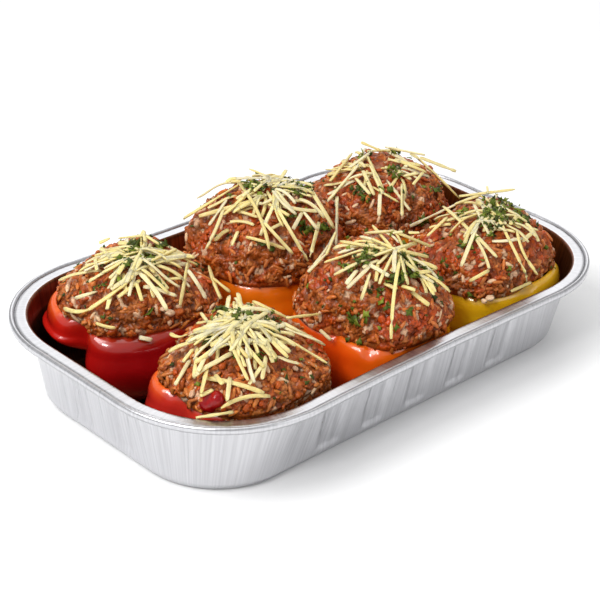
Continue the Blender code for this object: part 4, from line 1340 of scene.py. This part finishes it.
def crimp(rings, stations, around, wall_rings):
    """Small folds: radial ones on the flange and skirt, and faint upright ones on the corner walls."""
    total = around[-1] + (around[1] - around[0])
    kind = np.array([station[0] == "corner" for station in stations])
    share = np.array([station[2] for station in stations])
    corner = np.where(kind, np.sin(np.pi * share) ** 0.5, 0.0)
    turn = around / total * 2 * math.pi
    circle = np.stack((np.cos(turn), np.sin(turn), np.zeros_like(turn)), -1) * total / (2 * math.pi)
    folds = noise_at(circle, FOLD_SPACINGS[0]) + 0.6 * noise_at(circle, FOLD_SPACINGS[1], 7.0)
    slow = noise_at(circle, WAVE_SPACING, 3.0)
    rings = rings.copy()
    direction = normalise(rings[..., :2])
    for row in range(len(rings)):
        above = row - wall_rings
        if above < 0:
            height = rings[row, :, 2]
            strength = 0.10 * corner * smooth_step(14.0, 42.0, height)
            rings[row, :, :2] += direction[row] * (folds * strength + 0.12 * slow)[:, None]
        elif above < FLANGE_END:
            strength = (0.10 + 0.22 * corner) * smooth_step(-1, 2, above)
            rings[row, :, 2] += np.clip(folds, -1.2, 0.25) * strength * 0.7
        elif above >= SKIRT_START:
            rings[row, :, :2] -= direction[row] * (np.abs(folds) * (0.06 + 0.3 * corner))[:, None]
        if above >= 0:
            rings[row, :, 2] += 0.16 * slow * min(1.0, above / 3)
    return rings


def map_corners(left, right, low, high):
    """The corners of rectangles on the map, in the order of the quads' own."""
    corners = ((left, low), (right, low), (right, high), (left, high))
    return np.stack([np.stack(corner, -1) for corner in corners], 1)


def unwrap_tray(thing, around, outer, rows, count):
    """A map of the sheet: distance round the tray, and distance up its section, in metres."""
    up = np.concatenate(((0.0,), np.cumsum(np.linalg.norm(np.diff(outer[:, 0], axis=0), axis=1))))
    layer = thing.data.uv_layers.new(name="sheet")
    row = np.repeat(np.arange(rows - 1), count)
    column = np.tile(np.arange(count), rows - 1)
    quads = map_corners(around[column], around[column + 1], up[row], up[row + 1])
    skirt = np.full(count, up[-1])
    edge = map_corners(around[:-1], around[1:], skirt, skirt + FOIL)
    ring = outer[0, :, :2]
    following = np.roll(ring, -1, 0)
    middle = np.zeros_like(ring)
    base = np.stack((middle, following, ring), 1)
    floor = np.stack((middle, ring, following), 1)
    corners = np.concatenate([part.reshape(-1, 2) for part in (quads, quads[:, ::-1], edge, base, floor)])
    layer.data.foreach_set("uv", (corners * MM).ravel())


def new_material(name):
    material = bpy.data.materials.new(name)
    material.use_nodes = True
    return material, material.node_tree, material.node_tree.nodes["Principled BSDF"]


def coordinates(tree, sheet_stretch):
    """A piece's own coordinates, or with a stretch those on the tray's sheet."""
    if sheet_stretch is None:
        return tree.nodes.new("ShaderNodeTexCoord").outputs["Object"]
    source = tree.nodes.new("ShaderNodeUVMap")
    source.uv_map = "sheet"
    mapping = tree.nodes.new("ShaderNodeMapping")
    mapping.inputs["Scale"].default_value = sheet_stretch
    tree.links.new(source.outputs["UV"], mapping.inputs["Vector"])
    return mapping.outputs["Vector"]


def noise_value(tree, scale, detail, sheet_stretch=None):
    node = tree.nodes.new("ShaderNodeTexNoise")
    node.inputs["Scale"].default_value = scale
    node.inputs["Detail"].default_value = detail
    tree.links.new(coordinates(tree, sheet_stretch), node.inputs["Vector"])
    return node.outputs["Fac"]


def ramp(tree, value, places, colours):
    """A colour that goes from one to another while a value goes between two places."""
    node = tree.nodes.new("ShaderNodeValToRGB")
    for element, position, colour in zip(node.color_ramp.elements, places, colours):
        element.position = position
        element.color = (*colour, 1.0)
    tree.links.new(value, node.inputs["Fac"])
    return node.outputs["Color"]


def tinted(tree, shade):
    """The mesh's own colours, multiplied by a shade."""
    source = tree.nodes.new("ShaderNodeAttribute")
    source.attribute_name = "tint"
    node = tree.nodes.new("ShaderNodeMix")
    node.data_type = "RGBA"
    node.blend_type = "MULTIPLY"
    node.inputs["Factor"].default_value = 1.0
    first, second = [socket for socket in node.inputs if socket.type == "RGBA"]
    tree.links.new(source.outputs["Color"], first)
    tree.links.new(shade, second)
    return [socket for socket in node.outputs if socket.type == "RGBA"][0]


def bump(tree, shader, height, strength, distance, before=None):
    node = tree.nodes.new("ShaderNodeBump")
    node.inputs["Strength"].default_value = strength
    node.inputs["Distance"].default_value = distance
    tree.links.new(height, node.inputs["Height"])
    if before is not None:
        tree.links.new(before, node.inputs["Normal"])
    tree.links.new(node.outputs["Normal"], shader.inputs["Normal"])
    return node.outputs["Normal"]


def set_sockets(shader, values):
    for name, value in values.items():
        shader.inputs[name].default_value = value


def foil_material():
    """Drawn aluminium: bright, with fine upright streaks and shallow dents."""
    material, tree, shader = new_material("foil")
    streaks = noise_value(tree, 1.0, 4.0, (900.0, 14.0, 1.0))
    dents = noise_value(tree, 60.0, 2.0)
    colour = ramp(tree, streaks, (0.3, 0.7), ((0.52, 0.52, 0.54), (0.66, 0.66, 0.68)))
    tree.links.new(colour, shader.inputs["Base Color"])
    set_sockets(shader, {"Metallic": 1.0})
    rough = ramp(tree, streaks, (0.25, 0.75), ((0.26, 0.26, 0.26), (0.38, 0.38, 0.38)))
    tree.links.new(rough, shader.inputs["Roughness"])
    first = bump(tree, shader, streaks, 0.25, 0.0002)
    bump(tree, shader, dents, 0.25, 0.0006, first)
    return material


def lacquer_material():
    """The tray's inside: aluminium under a copper-brown lacquer, streaked."""
    material, tree, shader = new_material("lacquer")
    streaks = noise_value(tree, 1.0, 4.0, (700.0, 12.0, 1.0))
    colour = ramp(tree, streaks, (0.3, 0.72), ((0.09, 0.026, 0.011), (0.22, 0.075, 0.03)))
    tree.links.new(colour, shader.inputs["Base Color"])
    set_sockets(shader, {"Metallic": 0.85, "Roughness": 0.3})
    bump(tree, shader, streaks, 0.3, 0.0002)
    return material


@dataclass(frozen=True)
class Look:
    """A material of food, whose colour follows one noise and whose relief follows it or one of its own.

    Noises are scale and detail, the relief is strength and distance in metres, and values are the shader's.
    """

    noise: tuple
    places: tuple
    shades: tuple
    relief: tuple
    values: dict
    relief_noise: tuple = ()
    tinted: bool = True


def subsurface(weight, radius, scale):
    return {"Subsurface Weight": weight, "Subsurface Radius": radius, "Subsurface Scale": scale}


FULL = (1.0, 1.0, 1.0)
MOIST_SHADES = ((0.70, 0.62, 0.56), (1.12, 1.1, 1.08))
MOIST = {"Specular IOR Level": 0.2, "Coat Weight": 0.2, "Coat Roughness": 0.14,
         **subsurface(0.12, (1.0, 0.45, 0.25), 0.0012)}
LOOKS = {
    # Waxy and glossy over deep colour.
    "pepper_skin": Look((55.0, 3.0), (0.3, 0.75), ((0.82, 0.78, 0.78), FULL), (0.12, 0.0006),
                        {"Roughness": 0.24, "Coat Weight": 0.8, "Coat Roughness": 0.06,
                         **subsurface(0.08, (1.0, 0.3, 0.1), 0.002)}, relief_noise=(130.0, 2.0)),
    # Cut flesh: wet, brighter than the skin.
    "pepper_flesh": Look((420.0, 3.0), (0.3, 0.7), ((0.8, 0.72, 0.7), FULL), (0.3, 0.0004),
                         {"Roughness": 0.3, **subsurface(0.25, (1.0, 0.4, 0.15), 0.003)}),
    # Moist cooked food coloured crumb by crumb, with fine grain.
    "mince": Look((900.0, 4.0), (0.3, 0.72), MOIST_SHADES, (0.5, 0.0005), {"Roughness": 0.42, **MOIST}),
    "rice": Look((700.0, 4.0), (0.3, 0.72), MOIST_SHADES, (0.5, 0.0005), {"Roughness": 0.32, **MOIST}),
    # Pale, matt and a little waxy.
    "cheese": Look((500.0, 3.0), (0.3, 0.7), ((0.9, 0.88, 0.82), FULL), (0.2, 0.0002),
                   {"Roughness": 0.5, **subsurface(0.6, (1.0, 0.9, 0.6), 0.0025)}),
    "parsley": Look((900.0, 3.0), (0.3, 0.7), ((0.65, 0.7, 0.6), (1.15, 1.1, 1.1)), (0.3, 0.0003),
                    {"Roughness": 0.5, "Specular IOR Level": 0.25}),
    # The chunk of dark red pepper: glossy and wet.
    "cooked_pepper": Look((240.0, 3.0), (0.3, 0.75), ((0.18, 0.0, 0.002), (0.38, 0.006, 0.006)),
                          (0.35, 0.0008), {"Roughness": 0.22, "Specular IOR Level": 0.3,
                                           "Coat Weight": 0.15, "Coat Roughness": 0.06}, tinted=False),
}


def food_material(name):
    look = LOOKS[name]
    material, tree, shader = new_material(name)
    grain = noise_value(tree, *look.noise)
    colour = ramp(tree, grain, look.places, look.shades)
    if look.tinted:
        colour = tinted(tree, colour)
    tree.links.new(colour, shader.inputs["Base Color"])
    set_sockets(shader, look.values)
    if look.relief_noise:
        grain = noise_value(tree, *look.relief_noise)
    bump(tree, shader, grain, *look.relief)
    return material


def make_chunk(material):
    """The chunk's own form, smoothed from its solid."""
    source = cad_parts["pepper_chunk"]
    chunk = source.copy()
    chunk.data = source.data.copy()
    chunk.name = "pepper_piece"
    for key in list(chunk.keys()):
        del chunk[key]
    chunk.parent = None
    bpy.context.scene.collection.objects.link(chunk)
    chunk.data.materials.clear()
    chunk.data.materials.append(material)
    weld = chunk.modifiers.new("weld", "WELD")
    weld.merge_threshold = 0.00005
    smooth = chunk.modifiers.new("smooth", "SUBSURF")
    smooth.levels = smooth.render_levels = 2
    graph = bpy.context.evaluated_depsgraph_get()
    mesh = bpy.data.meshes.new_from_object(chunk.evaluated_get(graph))
    chunk.modifiers.clear()
    chunk.data = mesh
    chunk.data.polygons.foreach_set("use_smooth", np.ones(len(mesh.polygons), bool))
    for vert in mesh.vertices:
        vert.co += vert.normal * 0.0006 * noise.noise(vert.co / 0.0035)
    return chunk


# Half a side of the floor, in metres.
FLOOR_HALF = 6.0


def make_floor():
    """A plain pale floor."""
    material, tree, shader = new_material("floor")
    cloud = noise_value(tree, 3.0, 1.0)
    colour = ramp(tree, cloud, (0.0, 1.0), ((0.9, 0.9, 0.9), (0.93, 0.93, 0.93)))
    tree.links.new(colour, shader.inputs["Base Color"])
    set_sockets(shader, {"Roughness": 0.9})
    mesh = bpy.data.meshes.new("floor")
    corners = [(x * FLOOR_HALF, y * FLOOR_HALF, 0) for x, y in ((-1, -1), (1, -1), (1, 1), (-1, 1))]
    mesh.from_pydata(corners, [], [(0, 1, 2, 3)])
    mesh.materials.append(material)
    floor = bpy.data.objects.new("floor", mesh)
    bpy.context.scene.collection.objects.link(floor)


# Lights, as (name, azimuth, elevation, distance, side, power), in degrees, metres and watts.
LIGHTS = (
    ("key", -100, 50, 1.4, 0.7, 12),
    ("window", -70, 42, 1.3, 0.22, 4),
    ("fill", 20, 22, 1.6, 1.0, 4),
    ("top", -40, 85, 1.5, 1.2, 5),
    ("back", 135, 34, 1.6, 1.1, 5),
)
LIGHT_TARGET = (0.0, 0.0, 0.04)


def area_light(name, azimuth, elevation, distance, size, power):
    """A soft square light that looks at the tray from a direction."""
    data = bpy.data.lights.new(name, "AREA")
    data.shape = "SQUARE"
    data.size = size
    data.energy = power
    light = bpy.data.objects.new(name, data)
    turn = math.radians(azimuth)
    rise = math.radians(elevation)
    away = Vector((math.sin(turn) * math.cos(rise), -math.cos(turn) * math.cos(rise), math.sin(rise)))
    light.location = Vector(LIGHT_TARGET) + away * distance
    light.rotation_euler = away.to_track_quat("Z", "Y").to_euler()
    bpy.context.scene.collection.objects.link(light)


def make_lights():
    """Plain soft studio light: a large key from the left, a fill from the right and a white surround."""
    for row in LIGHTS:
        area_light(*row)
    world = bpy.data.worlds.new("surround")
    world.use_nodes = True
    world.node_tree.nodes["Background"].inputs["Color"].default_value = (1.0, 1.0, 1.0, 1.0)
    world.node_tree.nodes["Background"].inputs["Strength"].default_value = 0.5
    bpy.context.scene.world = world
    bpy.context.scene.view_settings.view_transform = "Standard"


def finish_piece(piece, slot, *nodes):
    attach(piece, "root")
    if nodes:
        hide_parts(*nodes)


SKIN_SLOTS = {1: "red_pepper", 2: "orange_pepper", 3: "orange_pepper",
              4: "red_pepper", 5: "orange_pepper", 6: "yellow_pepper"}


def build():
    view = PhotoView()
    view.make_camera()
    make_floor()
    make_lights()

    tray, tray_points = make_tray(foil_material(), lacquer_material())
    finish_piece(tray, "foil", "tray")
    ground = HeightMap()
    ground.raise_to(tray_points)

    skin = food_material("pepper_skin")
    flesh = food_material("pepper_flesh")
    mince = food_material("mince")
    heaps = []
    sides = {}
    for portion in PORTIONS:
        pepper, rows = make_pepper(portion, skin, flesh)
        finish_piece(pepper, SKIN_SLOTS[portion.number], f"pepper_{portion.number}")
        ground.raise_to(rows)
        sides[portion.number] = rows
        heap = Heap(portion, random.Random(portion.number))
        finish_piece(heap.build(mince), "filling", f"filling_{portion.number}")
        ground.raise_to(heap.points)
        heaps.append(heap)
    chunk = make_chunk(food_material("cooked_pepper"))
    finish_piece(chunk, "cooked_pepper", "pepper_chunk")
    ground.raise_to(np.array([vert.co for vert in chunk.data.vertices]) / MM)

    crumbs = Soup()
    grains = Soup()
    ball = rounded_lump(2)
    grain = grain_form()
    for heap in heaps:
        draw = random.Random(100 + heap.portion.number)
        add_crumbs(crumbs, ground, heap, ball, draw)
        add_grains(grains, ground, heap, grain, draw)
        add_spill(crumbs, grains, ground, heap, sides[heap.portion.number], ball, grain, draw)
        add_blobs(crumbs, ground, view, heap.portion, ball, draw)
    ground.fill_pinholes()
    ground.settle()

    cheese = Soup()
    parsley = Soup()
    for heap in heaps:
        portion = heap.portion
        draw = random.Random(200 + portion.number)
        for _ in range(portion.random_shreds):
            random_shred(cheese, ground, portion, draw)
        for row in SEEN_SHREDS[portion.number]:
            seen_shred(cheese, ground, view, portion, row, draw)
        add_parsley(parsley, ground, view, heap, draw)

    finish_piece(crumbs.build("mince_crumbs", [mince]), "filling")
    finish_piece(grains.build("rice_grains", [food_material("rice")]), "filling")
    finish_piece(cheese.build("cheese_shreds", [food_material("cheese")]), "filling")
    finish_piece(parsley.build("parsley_flakes", [food_material("parsley")]), "filling")


build()
